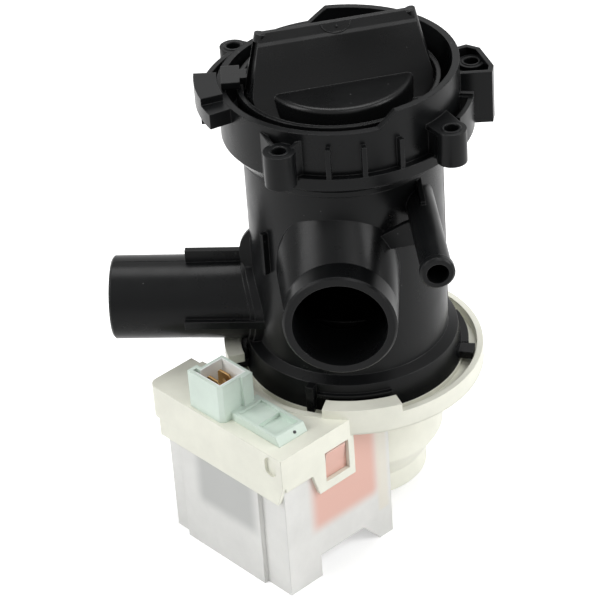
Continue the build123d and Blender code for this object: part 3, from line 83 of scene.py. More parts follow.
class Wiring:
    """Adds nodes to one node tree and joins them."""

    def __init__(self, tree: bpy.types.NodeTree) -> None:
        """Takes the tree in hand.

        Args:
            tree: Tree of a material, a world or a group.
        """
        self.nodes, self.links = tree.nodes, tree.links

    def feed(self, target: bpy.types.NodeSocket, value: Feed) -> None:
        """Links a socket to an input, or sets the input to a constant.

        Args:
            target: The input.
            value: Socket, number or colour that it gets.
        """
        if isinstance(value, bpy.types.NodeSocket):
            self.links.new(value, target)
        else:
            target.default_value = value

    def add(self, kind: str, inputs: dict[str | int, Feed] | None = None, **settings: object) -> bpy.types.Node:
        """Adds a node.

        Args:
            kind: Type of the node.
            inputs: What its inputs get, by name or number.
            **settings: Properties of the node.

        Returns:
            The node.
        """
        node = self.nodes.new(kind)
        for key, value in settings.items():
            setattr(node, key, value)
        for key, value in (inputs or {}).items():
            self.feed(node.inputs[key], value)
        return node

    def effect(self, effect: Effect, inputs: dict[str | int, Feed] | None = None) -> bpy.types.Node:
        """Places a shared node group.

        Args:
            effect: The group.
            inputs: What its inputs get.

        Returns:
            The group's node.
        """
        return self.add("ShaderNodeGroup", inputs, node_tree=EFFECTS.get(effect))

    def maths(self, operation: str, one: Feed, two: Feed = 0.0, clamp: bool = False) -> bpy.types.NodeSocket:
        """Adds a Math node.

        Args:
            operation: Name of the operation.
            one: First input.
            two: Second input, where the operation has one.
            clamp: True where the result stays between 0 and 1.

        Returns:
            The result.
        """
        node = self.add("ShaderNodeMath", {0: one, 1: two}, operation=operation, use_clamp=clamp)
        return node.outputs["Value"]

    def ranged(self, value: Feed, source: Pair = (0.0, 1.0), target: Pair = (0.0, 1.0),
               shape: str = "LINEAR") -> bpy.types.NodeSocket:
        """Maps one range to another.

        Args:
            value: Value to map.
            source: Pair that it comes from.
            target: Pair that it goes to.
            shape: How it runs between the ends.

        Returns:
            The mapped value.
        """
        ends = {"From Min": source[0], "From Max": source[1], "To Min": target[0], "To Max": target[1]}
        node = self.add("ShaderNodeMapRange", {"Value": value} | ends, interpolation_type=shape)
        return node.outputs["Result"]

    def mixed(self, share: Feed, base: Feed, tint: Feed, blend: str = "MIX") -> bpy.types.NodeSocket:
        """Mixes two colours.

        Args:
            share: Share of the second colour.
            base: First colour.
            tint: Second colour.
            blend: How the two are mixed.

        Returns:
            The mixed colour.
        """
        inputs = {"Factor": share, "A": base, "B": tint}
        return self.add("ShaderNodeMix", inputs, data_type="RGBA", blend_type=blend).outputs["Result"]

    def object_place(self) -> bpy.types.NodeSocket:
        """Adds the coordinates of the object's own frame.

        Returns:
            The coordinates.
        """
        return self.add("ShaderNodeTexCoord").outputs["Object"]


class GroupWiring(Wiring):
    """Wiring of a new node group, with its inputs and outputs."""

    def __init__(self, effect: Effect, inputs: dict[str, float], outputs: tuple[str, ...],
                 vectors: tuple[str, ...] = ()) -> None:
        """Makes the group.

        Args:
            effect: The group's name.
            inputs: Names of its inputs with their default values.
            outputs: Names of its number outputs.
            vectors: Names of its vector outputs.
        """
        self.tree = bpy.data.node_groups.new(effect.value, "ShaderNodeTree")
        super().__init__(self.tree)
        sockets = self.tree.interface
        for key, value in inputs.items():
            sockets.new_socket(key, in_out="INPUT", socket_type="NodeSocketFloat").default_value = value
        for kind, keys in (("NodeSocketVector", vectors), ("NodeSocketFloat", outputs)):
            for key in keys:
                sockets.new_socket(key, in_out="OUTPUT", socket_type=kind)
        self.given = self.add("NodeGroupInput").outputs
        self.results = self.add("NodeGroupOutput").inputs

    def give(self, results: dict[str, bpy.types.NodeSocket]) -> bpy.types.NodeTree:
        """Joins the group's outputs.

        Args:
            results: What each output gives.

        Returns:
            The finished group.
        """
        for key, value in results.items():
            self.feed(self.results[key], value)
        return self.tree


class SharedEffects:
    """Builds each shared node group once and hands it out."""

    GRAIN_SCALE, GRAIN_DETAIL = 2500.0, 3.0
    MOTTLE_SCALE, MOTTLE_DETAIL, MOTTLE_ROUGHNESS = 60.0, 4.0, 0.6
    TONE_FROM, TONE_TO = (0.3, 0.7), (0.94, 1.06)
    ROUGH_FROM, ROUGH_TO = (0.35, 0.65), (-0.04, 0.05)
    EDGE_RADIUS, EDGE_SAMPLES, EDGE_SHARPNESS = 0.45 * MM, 6, 6.0
    WALL_SOFTNESS = 2.0 * MM
    SPECK_SCALE, SPECK_AMOUNT, SPECK_FADE = 240.0, 0.5, (0.03, 0.075)
    PATCH_SCALE, PATCH_EDGE = 90.0, (0.56, 0.62)

    def __init__(self) -> None:
        """Starts with no group built."""
        self.groups: dict[Effect, bpy.types.NodeTree] = {}
        self.builders = {
            Effect.MOULD_SKIN: self.mould_skin,
            Effect.SOFT_EDGES: self.soft_edges,
            Effect.TINT_BOX_MASK: self.tint_box_mask,
            Effect.DUST: self.dust,
        }

    def get(self, effect: Effect) -> bpy.types.NodeTree:
        """Returns a node group, built on first use.

        Args:
            effect: The group.

        Returns:
            The node group.
        """
        if effect not in self.groups:
            self.groups[effect] = self.builders[effect]()
        return self.groups[effect]

    def mould_skin(self) -> bpy.types.NodeTree:
        """Fine mould grain and slow mottling, as a height, a tone and a roughness.

        Returns:
            The group.
        """
        scales = {"Grain Scale": self.GRAIN_SCALE, "Mottle Scale": self.MOTTLE_SCALE}
        wiring = GroupWiring(Effect.MOULD_SKIN, scales, ("Height", "Tone", "Rough"))
        place = wiring.object_place()
        grain = wiring.add("ShaderNodeTexNoise", {
            "Vector": place, "Scale": wiring.given["Grain Scale"], "Detail": self.GRAIN_DETAIL,
        })
        mottle = wiring.add("ShaderNodeTexNoise", {
            "Vector": place, "Scale": wiring.given["Mottle Scale"], "Detail": self.MOTTLE_DETAIL,
            "Roughness": self.MOTTLE_ROUGHNESS,
        })
        return wiring.give({
            "Height": grain.outputs["Fac"],
            "Tone": wiring.ranged(mottle.outputs["Fac"], self.TONE_FROM, self.TONE_TO),
            "Rough": wiring.ranged(mottle.outputs["Fac"], self.ROUGH_FROM, self.ROUGH_TO),
        })

    def soft_edges(self) -> bpy.types.NodeTree:
        """Rounds sharp edges in shading and marks them as an edge mask, which finishes use to paint a highlight
        along edges.

        Returns:
            The group.
        """
        wiring = GroupWiring(Effect.SOFT_EDGES, {"Mask Sharpness": self.EDGE_SHARPNESS}, ("Edge",), ("Normal",))
        bevel = wiring.add("ShaderNodeBevel", {"Radius": self.EDGE_RADIUS}, samples=self.EDGE_SAMPLES)
        rounded = bevel.outputs["Normal"]
        flat = wiring.add("ShaderNodeNewGeometry").outputs["Normal"]
        turn = wiring.add("ShaderNodeVectorMath", {0: rounded, 1: flat}, operation="DOT_PRODUCT")
        away = wiring.maths("SUBTRACT", 1.0, turn.outputs["Value"])
        edge = wiring.maths("MULTIPLY", away, wiring.given["Mask Sharpness"], clamp=True)
        return wiring.give({"Normal": rounded, "Edge": edge})

    def tint_box_mask(self) -> bpy.types.NodeTree:
        """Soft box mask in the coil block's directions, for painted tints: what shows through a wall, or a painted
        glow.

        Returns:
            The group.
        """
        sizes = {f"{key} {what}": 0.0 for key in "STZ" for what in ("Middle", "Half")}
        wiring = GroupWiring(Effect.TINT_BOX_MASK, sizes | {"Softness": self.WALL_SOFTNESS}, ("Mask",))
        turned = wiring.add("ShaderNodeVectorRotate", {"Vector": wiring.object_place(), "Angle": -BLOCK_TURN},
                            rotation_type="Z_AXIS")
        apart = wiring.add("ShaderNodeSeparateXYZ", {"Vector": turned.outputs["Vector"]})
        mask = 1.0
        for key, axis in zip("STZ", "XYZ"):
            offset = wiring.maths("SUBTRACT", apart.outputs[axis], wiring.given[f"{key} Middle"])
            room = wiring.maths("SUBTRACT", wiring.given[f"{key} Half"], wiring.maths("ABSOLUTE", offset))
            share = wiring.maths("DIVIDE", room, wiring.given["Softness"])
            inside = wiring.ranged(share, source=(-1.0, 1.0), shape="SMOOTHSTEP")
            mask = wiring.maths("MULTIPLY", mask, inside)
        return wiring.give({"Mask": mask})

    def dust(self) -> bpy.types.NodeTree:
        """Scattered specks, in patches, as one mask.

        Returns:
            The group.
        """
        amounts = {"Speck Scale": self.SPECK_SCALE, "Amount": self.SPECK_AMOUNT}
        wiring = GroupWiring(Effect.DUST, amounts, ("Mask",))
        place = wiring.object_place()
        cells = wiring.add("ShaderNodeTexVoronoi", {"Vector": place, "Scale": wiring.given["Speck Scale"]},
                           feature="F1")
        specks = wiring.ranged(cells.outputs["Distance"], self.SPECK_FADE, (1.0, 0.0))
        noise = wiring.add("ShaderNodeTexNoise", {"Vector": place, "Scale": self.PATCH_SCALE})
        patches = wiring.ranged(noise.outputs["Fac"], self.PATCH_EDGE)
        both = wiring.maths("MULTIPLY", specks, patches)
        return wiring.give({"Mask": wiring.maths("MULTIPLY", both, wiring.given["Amount"])})


EFFECTS = SharedEffects()


# Finishes


@dataclass(frozen=True)
class Finish:
    """A surface finish that can be turned into a material.

    Attributes:
        name: Name of the material.
        colour: Base colour, linear.
        roughness: Mean roughness.
        grain: Height of the fine grain, in metres.
        edge: How much lighter edges look, as a painted highlight along them.
        dust: Amount of scattered specks.
        metallic: 1 for bare metal.
        specular: Strength of the plain reflection, 0.5 for common plastic.
        bump: Strength of the grain's bump.
        paling: How far a lighter tint goes towards white.
    """

    name: str
    colour: Point
    roughness: float
    grain: float = 0.01 * MM
    edge: float = 0.2
    dust: float = 0.0
    metallic: float = 0.0
    specular: float = 0.5
    bump: float = 0.6
    paling: float = 0.25

    def material(self) -> bpy.types.Material:
        """Builds the material once and returns it after that.

        Returns:
            The material.
        """
        found = bpy.data.materials.get(self.name)
        if found:
            return found
        mat = bpy.data.materials.new(self.name)
        mat.use_nodes = True
        wiring = Wiring(mat.node_tree)
        skin = wiring.effect(Effect.MOULD_SKIN).outputs
        edges = wiring.effect(Effect.SOFT_EDGES).outputs
        base = wiring.mixed(1.0, (*self.colour, 1.0), skin["Tone"], "MULTIPLY")
        base = self.with_painted_tints(wiring, base)
        # Painted highlight: edges are lightened where the rounded-edge mask finds them
        base = self.lightened(wiring, base, edges["Edge"], self.edge)
        if self.dust:
            specks = wiring.effect(Effect.DUST, {"Amount": self.dust})
            base = self.lightened(wiring, base, specks.outputs["Mask"], 1.0)
        bump = wiring.add("ShaderNodeBump", {
            "Strength": self.bump, "Distance": self.grain, "Height": self.height(wiring, skin["Height"]),
            "Normal": edges["Normal"],
        })
        inputs = {
            "Base Color": base, "Metallic": self.metallic, "Specular IOR Level": self.specular,
            "Roughness": wiring.maths("ADD", self.roughness, skin["Rough"], clamp=True),
            "Normal": bump.outputs["Normal"], "Alpha": self.cover(),
        }
        for key, value in inputs.items():
            wiring.feed(wiring.nodes["Principled BSDF"].inputs[key], value)
        return mat

    def height(self, wiring: Wiring, skin: bpy.types.NodeSocket) -> bpy.types.NodeSocket:
        """Height that feeds the bump; finishes with lines of their own add them here.

        Args:
            wiring: Wiring of the material.
            skin: Height of the mould grain.

        Returns:
            The height.
        """
        return skin

    def with_painted_tints(self, wiring: Wiring, base: bpy.types.NodeSocket) -> bpy.types.NodeSocket:
        """Colour with painted tints, for what lies behind a thin wall or for a painted glow; only tinted finishes
        change it.

        Args:
            wiring: Wiring of the material.
            base: Colour of the wall.

        Returns:
            The colour.
        """
        return base

    def cover(self) -> float:
        """Share of light that the wall holds back; only milky walls let some through.

        Returns:
            The share, 1 for all.
        """
        return 1.0

    def lightened(self, wiring: Wiring, base: bpy.types.NodeSocket, mask: bpy.types.NodeSocket,
                  amount: float) -> bpy.types.NodeSocket:
        """Mixes a lighter tint of the colour in where a mask says so, for a painted edge highlight or for dust
        specks.

        Args:
            wiring: Wiring of the material.
            base: Colour so far.
            mask: Where the tint goes.
            amount: Strength of the tint.

        Returns:
            The colour.
        """
        light = tuple(min(1.0, self.paling + (1.0 - self.paling) * c) for c in self.colour)
        return wiring.mixed(wiring.maths("MULTIPLY", mask, amount, clamp=True), base, (*light, 1.0))


@dataclass(frozen=True)
class PaintedTint:
    """A box of painted tint, in the coil block's directions: something behind a wall painted in, or a painted glow.

    Attributes:
        middle: Its middle, in millimetres.
        half: Half its size, in millimetres.
        colour: Its colour, linear.
        strength: How strongly it shows.
        softness: Width of its blurred rim, in millimetres.
    """

    middle: Point
    half: Point
    colour: Point
    strength: float
    softness: float


@dataclass(frozen=True)
class TintedFinish(Finish):
    """Plastic with painted tints: what lies behind it painted into its colour, and a painted glow where light would
    gather in it.
    """

    painted_tints: tuple[PaintedTint, ...] = ()

    def with_painted_tints(self, wiring: Wiring, base: bpy.types.NodeSocket) -> bpy.types.NodeSocket:
        """Paints each tint into the wall's colour where its box lies.

        Args:
            wiring: Wiring of the material.
            base: Colour of the wall.

        Returns:
            The tinted colour.
        """
        for painted_tint in self.painted_tints:
            sizes = {"Softness": painted_tint.softness * MM}
            for key, middle, half in zip("STZ", painted_tint.middle, painted_tint.half):
                sizes |= {f"{key} Middle": middle * MM, f"{key} Half": half * MM}
            mask = wiring.effect(Effect.TINT_BOX_MASK, sizes).outputs["Mask"]
            share = wiring.maths("MULTIPLY", mask, painted_tint.strength)
            base = wiring.mixed(share, base, (*painted_tint.colour, 1.0))
        return base


@dataclass(frozen=True)
class MilkyFinish(TintedFinish):
    """Translucent plastic through which taped coils and core show: a little directly, the rest painted into its
    colour.
    """

    clarity: float = 0.12

    def cover(self) -> float:
        """Lets a little of the inside show directly.

        Returns:
            The share of light that the wall holds back.
        """
        return 1.0 - self.clarity


@dataclass(frozen=True)
class StackedFinish(Finish):
    """Sheet steel, stacked along Z, with its sheet edges as fine lines."""

    lines: float = 1.0 * MM
    phase_per_scale: float = 20.0

    def height(self, wiring: Wiring, skin: bpy.types.NodeSocket) -> bpy.types.NodeSocket:
        """Adds the lines between the sheets to the grain.

        Args:
            wiring: Wiring of the material.
            skin: Height of the grain.

        Returns:
            The height.
        """
        scale = math.tau / (self.phase_per_scale * self.lines)
        wave = wiring.add("ShaderNodeTexWave", {"Vector": wiring.object_place(), "Scale": scale},
                          wave_type="BANDS", bands_direction="Z")
        return wiring.maths("ADD", skin, wave.outputs["Fac"])


COIL_SHADE = (0.80, 0.47, 0.39)
CORE_SHADE = (0.44, 0.45, 0.44)
FLANGE_SHADE = (0.82, 0.76, 0.62)
SOCKET_PAINTED_GLOW = (0.98, 1.0, 0.985)
# Painted see-through: the coils, the bobbin flange and, as a darker grey, the core are painted into the cover's
# colour where they lie behind it
PAINTED_BEHIND_COVER = (
    PaintedTint((0.0, -35.5, -123.5), (40.0, 15.0, 19.5), COIL_SHADE, strength=0.95, softness=3.0),
    PaintedTint((0.0, -17.6, -130.0), (40.0, 2.4, 22.0), FLANGE_SHADE, strength=0.5, softness=0.9),
    PaintedTint((1.0, -66.0, -128.0), (14.5, 6.0, 15.0), CORE_SHADE, strength=0.72, softness=3.2),
)
# Painted glow: the socket's inside is painted lighter, standing in for light that scatters in the translucent mint
# where its deep hollow lies in shade
PAINTED_SOCKET_GLOW = (PaintedTint((-5.65, -57.0, -94.5), (6.1, 5.9, 5.8), SOCKET_PAINTED_GLOW, strength=1.0, softness=0.3),)
BLACK = Finish("black_moulding", (0.0042, 0.0045, 0.0048), 0.30, edge=0.07, dust=0.25, specular=0.14)
CAP_BLACK = Finish("cap_moulding", (0.0050, 0.0052, 0.0054), 0.28, edge=0.08, dust=0.3, specular=0.19)
CREAM = Finish("cream_moulding", (0.80, 0.80, 0.70), 0.42, edge=0.25)
MINT = TintedFinish("mint_moulding", (0.66, 0.765, 0.685), 0.40, edge=0.25, painted_tints=PAINTED_SOCKET_GLOW)
MILKY = MilkyFinish("milky_moulding", (0.80, 0.80, 0.775), 0.40, grain=0.004 * MM, edge=0.8,
                    painted_tints=PAINTED_BEHIND_COVER)
BRASS = Finish("stamped_brass", (0.56, 0.34, 0.13), 0.33, grain=0.006 * MM, edge=0.3, metallic=1.0)
STACK = StackedFinish("sheet_stack", (0.30, 0.30, 0.31), 0.45, grain=0.05 * MM, metallic=0.8)
STEEL = Finish("ground_steel", (0.55, 0.55, 0.56), 0.25, metallic=1.0)
TAPE = Finish("coil_tape", (0.83, 0.36, 0.25), 0.55, grain=0.02 * MM)
FERRITE = Finish("ferrite", (0.06, 0.06, 0.065), 0.6, grain=0.03 * MM)
DARK = Finish("dark_moulding", (0.05, 0.05, 0.055), 0.5)
RUBBER = Finish("black_rubber", (0.02, 0.02, 0.02), 0.75, grain=0.03 * MM)
GREY = Finish("grey_moulding", (0.26, 0.27, 0.28), 0.42)


@dataclass(frozen=True)
class Kind:
    """What the pieces on one part share.

    Attributes:
        finish: Finish of their surface.
        body: Body that they ride on.
        slot: Material slot of the record.
    """

    finish: Finish
    body: Body
    slot: str


ON_HOUSING = Kind(BLACK, Body.HOUSING, "black_plastic")
ON_CAP = Kind(CAP_BLACK, Body.CAP, "cap_plastic")
ON_FLANGE = Kind(CREAM, Body.HOUSING, "cream_plastic")
ON_COIL = Kind(TAPE, Body.HOUSING, "coil_tape")
ON_SOCKET = Kind(MINT, Body.HOUSING, "mint_plastic")
ON_TAB = Kind(BRASS, Body.HOUSING, "brass")
ON_TRAY = Kind(DARK, Body.HOUSING, "sleeve_plastic")
ON_IMPELLER = Kind(GREY, Body.IMPELLER, "impeller_plastic")


# Meshes


def around(radius: float, angle: float, z: float) -> Vector:
    """Point about the pump axis.

    Args:
        radius: Distance from the axis, in millimetres.
        angle: Angle about it, in degrees.
        z: Height, in millimetres.

    Returns:
        The point, in metres.
    """
    return (outward(angle) * radius + UP * z) * MM


def outward(angle: float) -> Vector:
    """Direction that points away from the pump axis.

    Args:
        angle: Angle about the axis, in degrees.

    Returns:
        The direction.
    """
    a = math.radians(angle)
    return Vector((math.cos(a), math.sin(a), 0.0))


def in_block(s: float, t: float, z: float) -> Vector:
    """Point in the coil block's directions.

    Args:
        s: Place across the block, in millimetres.
        t: Place along the core's legs, in millimetres.
        z: Height, in millimetres.

    Returns:
        The point, in metres.
    """
    return (BLOCK_S * s + BLOCK_T * t + UP * z) * MM


class Mesher:
    """Mesh and curve building that the sub-assemblies share."""

    BEVEL_SEGMENTS, BEVEL_ANGLE = 2, math.radians(35)
    RIM_SOFTNESS = 0.35

    @staticmethod
    def carry(name: str, data: bpy.types.ID, kind: Kind) -> bpy.types.Object:
        """Puts a mesh or curve in the scene and lets it ride on its body.

        Args:
            name: Name of the piece.
            data: Its mesh or curve.
            kind: Its finish, body and slot.

        Returns:
            The new object.
        """
        obj = bpy.data.objects.new(name, data)
        bpy.context.scene.collection.objects.link(obj)
        data.materials.append(kind.finish.material())
        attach(obj, kind.body.value)
        log.info("built %s on %s", name, kind.body.value)
        return obj

    @staticmethod
    def piece(name: str, mesh: bmesh.types.BMesh, kind: Kind, bevel: float = 0.0) -> None:
        """Turns a bmesh into a finished piece that rides on a body.

        Args:
            name: Name of the piece.
            mesh: Its mesh, in metres.
            kind: Its finish, body and slot.
            bevel: Width of its rounded edges, or 0 for none.
        """
        data = bpy.data.meshes.new(name)
        bmesh.ops.recalc_face_normals(mesh, faces=mesh.faces)
        mesh.to_mesh(data)
        mesh.free()
        for polygon in data.polygons:
            polygon.use_smooth = True
        obj = Mesher.carry(name, data, kind)
        if bevel:
            rounding = obj.modifiers.new("rounding", "BEVEL")
            rounding.width = bevel
            rounding.segments = Mesher.BEVEL_SEGMENTS
            rounding.limit_method = "ANGLE"
            rounding.angle_limit = Mesher.BEVEL_ANGLE
            rounding.harden_normals = True

    @staticmethod
    def wire(name: str, points: list[Vector], radius: float, kind: Kind, closed: bool = False) -> None:
        """Fine moulded line or ridge that follows a path.

        Args:
            name: Name of the piece.
            points: Points of its path.
            radius: Radius of the line, in millimetres.
            kind: Its finish, body and slot.
            closed: True where it meets its own start.
        """
        data = bpy.data.curves.new(name, "CURVE")
        data.dimensions = "3D"
        data.bevel_depth = radius * MM
        data.bevel_resolution = 1
        data.use_fill_caps = not closed
        spline = data.splines.new("POLY")
        spline.points.add(len(points) - 1)
        for target, point in zip(spline.points, points):
            target.co = (*point, 1.0)
        spline.use_cyclic_u = closed
        spline.use_smooth = True
        Mesher.carry(name, data, kind)

    @staticmethod
    def prism(mesh: bmesh.types.BMesh, outline: list[Vector], rise: Vector) -> None:
        """Adds a closed prism over an outline.

        Args:
            mesh: Mesh to add to.
            outline: Corner points in order.
            rise: Vector from the outline to its copy.
        """
        low = [mesh.verts.new(p) for p in outline]
        high = [mesh.verts.new(p + rise) for p in outline]
        mesh.faces.new(low)
        mesh.faces.new(high[::-1])
        for i in range(len(outline)):
            j = (i + 1) % len(outline)
            mesh.faces.new((low[i], high[i], high[j], low[j]))

    @staticmethod
    def disc(mesh: bmesh.types.BMesh, centre: Vector, axis: Vector, radius: float, rise: float,
             hollow: float = 0.0, steps: int = 32) -> None:
        """Adds a low round pad or ring with a rounded rim.

        Args:
            mesh: Mesh to add to.
            centre: Middle of its foot.
            axis: Direction that it rises in.
            radius: Outer radius, in millimetres.
            rise: Height, in millimetres.
            hollow: Inner radius of a ring, or 0 for a pad, in millimetres.
            steps: Number of sides.
        """
        turn = axis.to_track_quat("Z", "Y").to_matrix()
        soft = rise * Mesher.RIM_SOFTNESS
        profile = [(radius, -rise), (radius, rise - soft), (radius - soft, rise)]
        if hollow:
            profile += [(hollow + soft, rise), (hollow, rise - soft), (hollow, -rise)]
        sides = [outward(360.0 * k / steps) for k in range(steps)]
        rings = [[mesh.verts.new(centre + turn @ (side * r + UP * z) * MM) for side in sides]
                 for r, z in profile]
        pairs = list(zip(rings, rings[1:]))
        if hollow:
            pairs.append((rings[-1], rings[0]))
        for low, high in pairs:
            for k in range(steps):
                j = (k + 1) % steps
                mesh.faces.new((low[k], low[j], high[j], high[k]))
        if not hollow:
            mesh.faces.new(rings[0][::-1])
            mesh.faces.new(rings[-1])


def dress(finishes: dict[str, Finish]) -> None:
    """Gives CAD nodes their materials.

    Args:
        finishes: Node names with their finishes.
    """
    for node, finish in finishes.items():
        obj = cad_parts[node]
        obj.data.materials.clear()
        obj.data.materials.append(finish.material())
        log.info("dressed %s in %s", node, finish.name)


# Sub-assemblies


@dataclass
class PumpHousing:
    """The black body with its collar, ports and locking ring, in millimetres and degrees.

    Attributes that aren't plain sizes:
        high_span: First and last angle of the rim's high part.
        slope: Angle over which the rim climbs.
        bosses: Distance from the axis and angle of each screw hole.
        right_parting, left_parting: Heights along the body's parting lines.
        outlet_foot_parting, outlet_top_parting: X places along the outlet's.
    """

    body_radius: float = 33.7
    outlet_z: float = -82.9
    outlet_radius: float = 14.73
    collar_radius: float = 40.3
    collar_wall: float = 2.3
    low_rim: float = 4.4
    high_rim: float = 9.4
    high_span: Pair = (-68.0, 108.0)
    slope: float = 9.0
    flash_step: int = 4
    flash_inset: float = 0.08
    flash_sink: float = 0.05
    flash_radius: float = 0.13
    bosses: tuple[Pair, ...] = ((48.0, 142.0), (48.0, -38.0), (45.4, -112.0), (46.2, 19.0))
    hole_radius: float = 2.45
    ring_gap: float = 0.05
    ring_width: float = 0.9
    ring_rise: float = 0.22
    parting_radius: float = 0.14
    right_parting: tuple[float, ...] = (-25.0, -60.0, -93.0)
    left_parting: tuple[float, ...] = (-25.0, -45.0, -64.0)
    outlet_foot_parting: tuple[float, ...] = (-81.5, -60.0, -40.0)
    outlet_top_parting: tuple[float, ...] = (-82.0, -70.0, -57.5)
    mark_angles: tuple[float, ...] = (40.0, 64.0, 88.0, 112.0)
    mark_sink: float = 0.05
    mark_rise: float = 0.14
    body_mark_radius: float = 2.2
    body_mark_z: float = -88.0
    collar_mark_radius: float = 2.0
    collar_mark_z: float = -6.0

    def rim_height(self, angle: float) -> float:
        """Height of the collar's stepped rim at an angle.

        Args:
            angle: Angle about the pump axis, in degrees.

        Returns:
            The height in millimetres.
        """
        start, end = self.high_span
        inside = min(angle - start, end - angle)
        share = max(0.0, min(1.0, inside / self.slope))
        return self.low_rim + share * (self.high_rim - self.low_rim)

    def rim_flash(self) -> None:
        """Fine flash that runs along both edges of the stepped rim."""
        start, end = self.high_span
        steps = range(-180, 180, self.flash_step)
        marks = sorted({*steps, start, start + self.slope, end - self.slope, end})
        edges = {
            "outer": self.collar_radius - self.flash_inset,
            "inner": self.collar_radius - self.collar_wall + self.flash_inset,
        }
        for side, radius in edges.items():
            points = [around(radius, a, self.rim_height(a) - self.flash_sink) for a in marks]
            Mesher.wire(f"rim_flash_{side}", points, self.flash_radius, ON_HOUSING, closed=True)

    def boss_rings(self) -> None:
        """Raised rings round the four screw holes."""
        mesh = bmesh.new()
        inner = self.hole_radius + self.ring_gap
        for reach, angle in self.bosses:
            Mesher.disc(mesh, around(reach, angle, 0.0), UP, inner + self.ring_width, self.ring_rise, inner)
        Mesher.piece("boss_rings", mesh, ON_HOUSING)

    def mould_lines(self) -> None:
        """Parting lines on body and outlet, where the two mould halves met."""
        foot, top = self.outlet_z - self.outlet_radius, self.outlet_z + self.outlet_radius
        lines = {
            "body_parting_right": [around(self.body_radius, 0.0, z) for z in self.right_parting],
            "body_parting_left": [around(self.body_radius, 180.0, z) for z in self.left_parting],
            "outlet_parting_foot": [Vector((x, 0.0, foot)) * MM for x in self.outlet_foot_parting],
            "outlet_parting_top": [Vector((x, 0.0, top)) * MM for x in self.outlet_top_parting],
        }
        for name, points in lines.items():
            Mesher.wire(name, points, self.parting_radius, ON_HOUSING)

    def ejector_marks(self) -> None:
        """Low round marks that the mould's pins left on the back of body and collar."""
        mesh = bmesh.new()
        rows = (
            (self.body_radius, self.body_mark_radius, self.body_mark_z),
            (self.collar_radius, self.collar_mark_radius, self.collar_mark_z),
        )
        for angle in self.mark_angles:
            for wall, radius, z in rows:
                foot = around(wall - self.mark_sink, angle, z)
                Mesher.disc(mesh, foot, outward(angle), radius, self.mark_rise)
        Mesher.piece("ejector_marks", mesh, ON_HOUSING)

    def build(self) -> None:
        """Dresses the body and adds what the mould leaves on it."""
        dress({"pump_body": BLACK, "flange_seal": RUBBER})
        self.rim_flash()
        self.boss_rings()
        self.mould_lines()
        self.ejector_marks()


@dataclass
class CapAndFilter:
    """The winged cap, its seal and the strainer that hangs from it, in millimetres and degrees.

    Attributes that aren't plain sizes:
        crest, lip, shoulder: Widths of the wing at its top, below its lip and below that.
        crease_inset: Gap between the end of a crease and the pad's rim.
        bow_start, bow_depth: Depth of the bow's ends below the top, and of its middle below those.
        pip_lean: Rise of the pip's direction for each unit outwards.
    """

    grip_angle: float = 17.0
    grip_top: float = 24.4
    crest: float = 1.6
    lip: float = 4.6
    lip_height: float = 2.8
    shoulder: float = 6.2
    shoulder_height: float = 1.0
    pad_top: float = 4.6
    pad_radius: float = 24.0
    crease_offset: float = 7.0
    crease_inset: float = 1.2
    ridge_radius: float = 0.3
    bow_half_width: float = 5.0
    bow_start: float = 0.3
    bow_depth: float = 2.9
    bow_stand_off: float = 0.02
    bow_steps: int = 16
    pip_depth: float = 1.4
    pip_radius: float = 0.55
    pip_rise: float = 0.3
    pip_lean: float = 0.285
    pip_sides: int = 16
    rim_radius: float = 34.0
    rim_wall: float = 1.5
    rim_top: float = 3.4
    flash_inset: float = 0.1
    flash_radius: float = 0.14
    flash_step: int = 5

    def by_grip(self, along: float, across: float, z: float) -> Vector:
        """Turns a vector from the grip's own directions.

        Args:
            along: Part along the grip.
            across: Part across it.
            z: Part upwards.

        Returns:
            The vector.
        """
        wing = outward(self.grip_angle)
        return wing * along + UP.cross(wing) * across + UP * z

    def creases(self) -> None:
        """Thin raised lines where the wing's faces meet the pad."""
        half = math.sqrt(self.pad_radius ** 2 - self.crease_offset ** 2) - self.crease_inset
        for number, side in TWINS:
            across = side * self.crease_offset
            points = [self.by_grip(x, across, self.pad_top) * MM for x in (-half, 0.0, half)]
            Mesher.wire(f"wing_crease_{number}", points, self.ridge_radius, ON_CAP)

    def lip_half(self, depth: float) -> float:
        """Half the wing's width a little below its top.

        Args:
            depth: Depth below the top, in millimetres.

        Returns:
            The half width in millimetres.
        """
        if depth < self.lip_height:
            return (self.crest + (self.lip - self.crest) * depth / self.lip_height) / 2
        share = min(1.0, (depth - self.lip_height) / self.shoulder_height)
        return (self.lip + (self.shoulder - self.lip) * share) / 2

    def lip_arches(self) -> None:
        """Raised bow with a pip in it, on both leaning faces of the wing's lip."""
        for number, side in TWINS:
            bow = []
            for k in range(self.bow_steps + 1):
                a = math.pi * k / self.bow_steps
                depth = self.bow_start + self.bow_depth * math.sin(a)
                across = side * (self.lip_half(depth) + self.bow_stand_off)
                bow.append(self.by_grip(self.bow_half_width * math.cos(a), across, self.grip_top - depth) * MM)
            Mesher.wire(f"lip_arch_{number}", bow, self.ridge_radius, ON_CAP)
            pip = bmesh.new()
            foot = self.by_grip(0.0, side * self.lip_half(self.pip_depth), self.grip_top - self.pip_depth)
            Mesher.disc(pip, foot * MM, self.by_grip(0.0, side, self.pip_lean), self.pip_radius, self.pip_rise,
                        steps=self.pip_sides)
            Mesher.piece(f"lip_pip_{number}", pip, ON_CAP)

    def rim_lines(self) -> None:
        """Fine flash along both edges of the cap's rim."""
        edges = {
            "outer": self.rim_radius - self.flash_inset,
            "inner": self.rim_radius - self.rim_wall + self.flash_inset,
        }
        for side, radius in edges.items():
            points = [around(radius, a, self.rim_top) for a in range(0, 360, self.flash_step)]
            Mesher.wire(f"cap_flash_{side}", points, self.flash_radius, ON_CAP, closed=True)

    def build(self) -> None:
        """Dresses cap, seal and strainer and adds the cap's fine lines."""
        dress({"filter_cap": CAP_BLACK, "cap_seal": RUBBER, "filter_strainer": CAP_BLACK})
        self.creases()
        self.lip_arches()
        self.rim_lines()


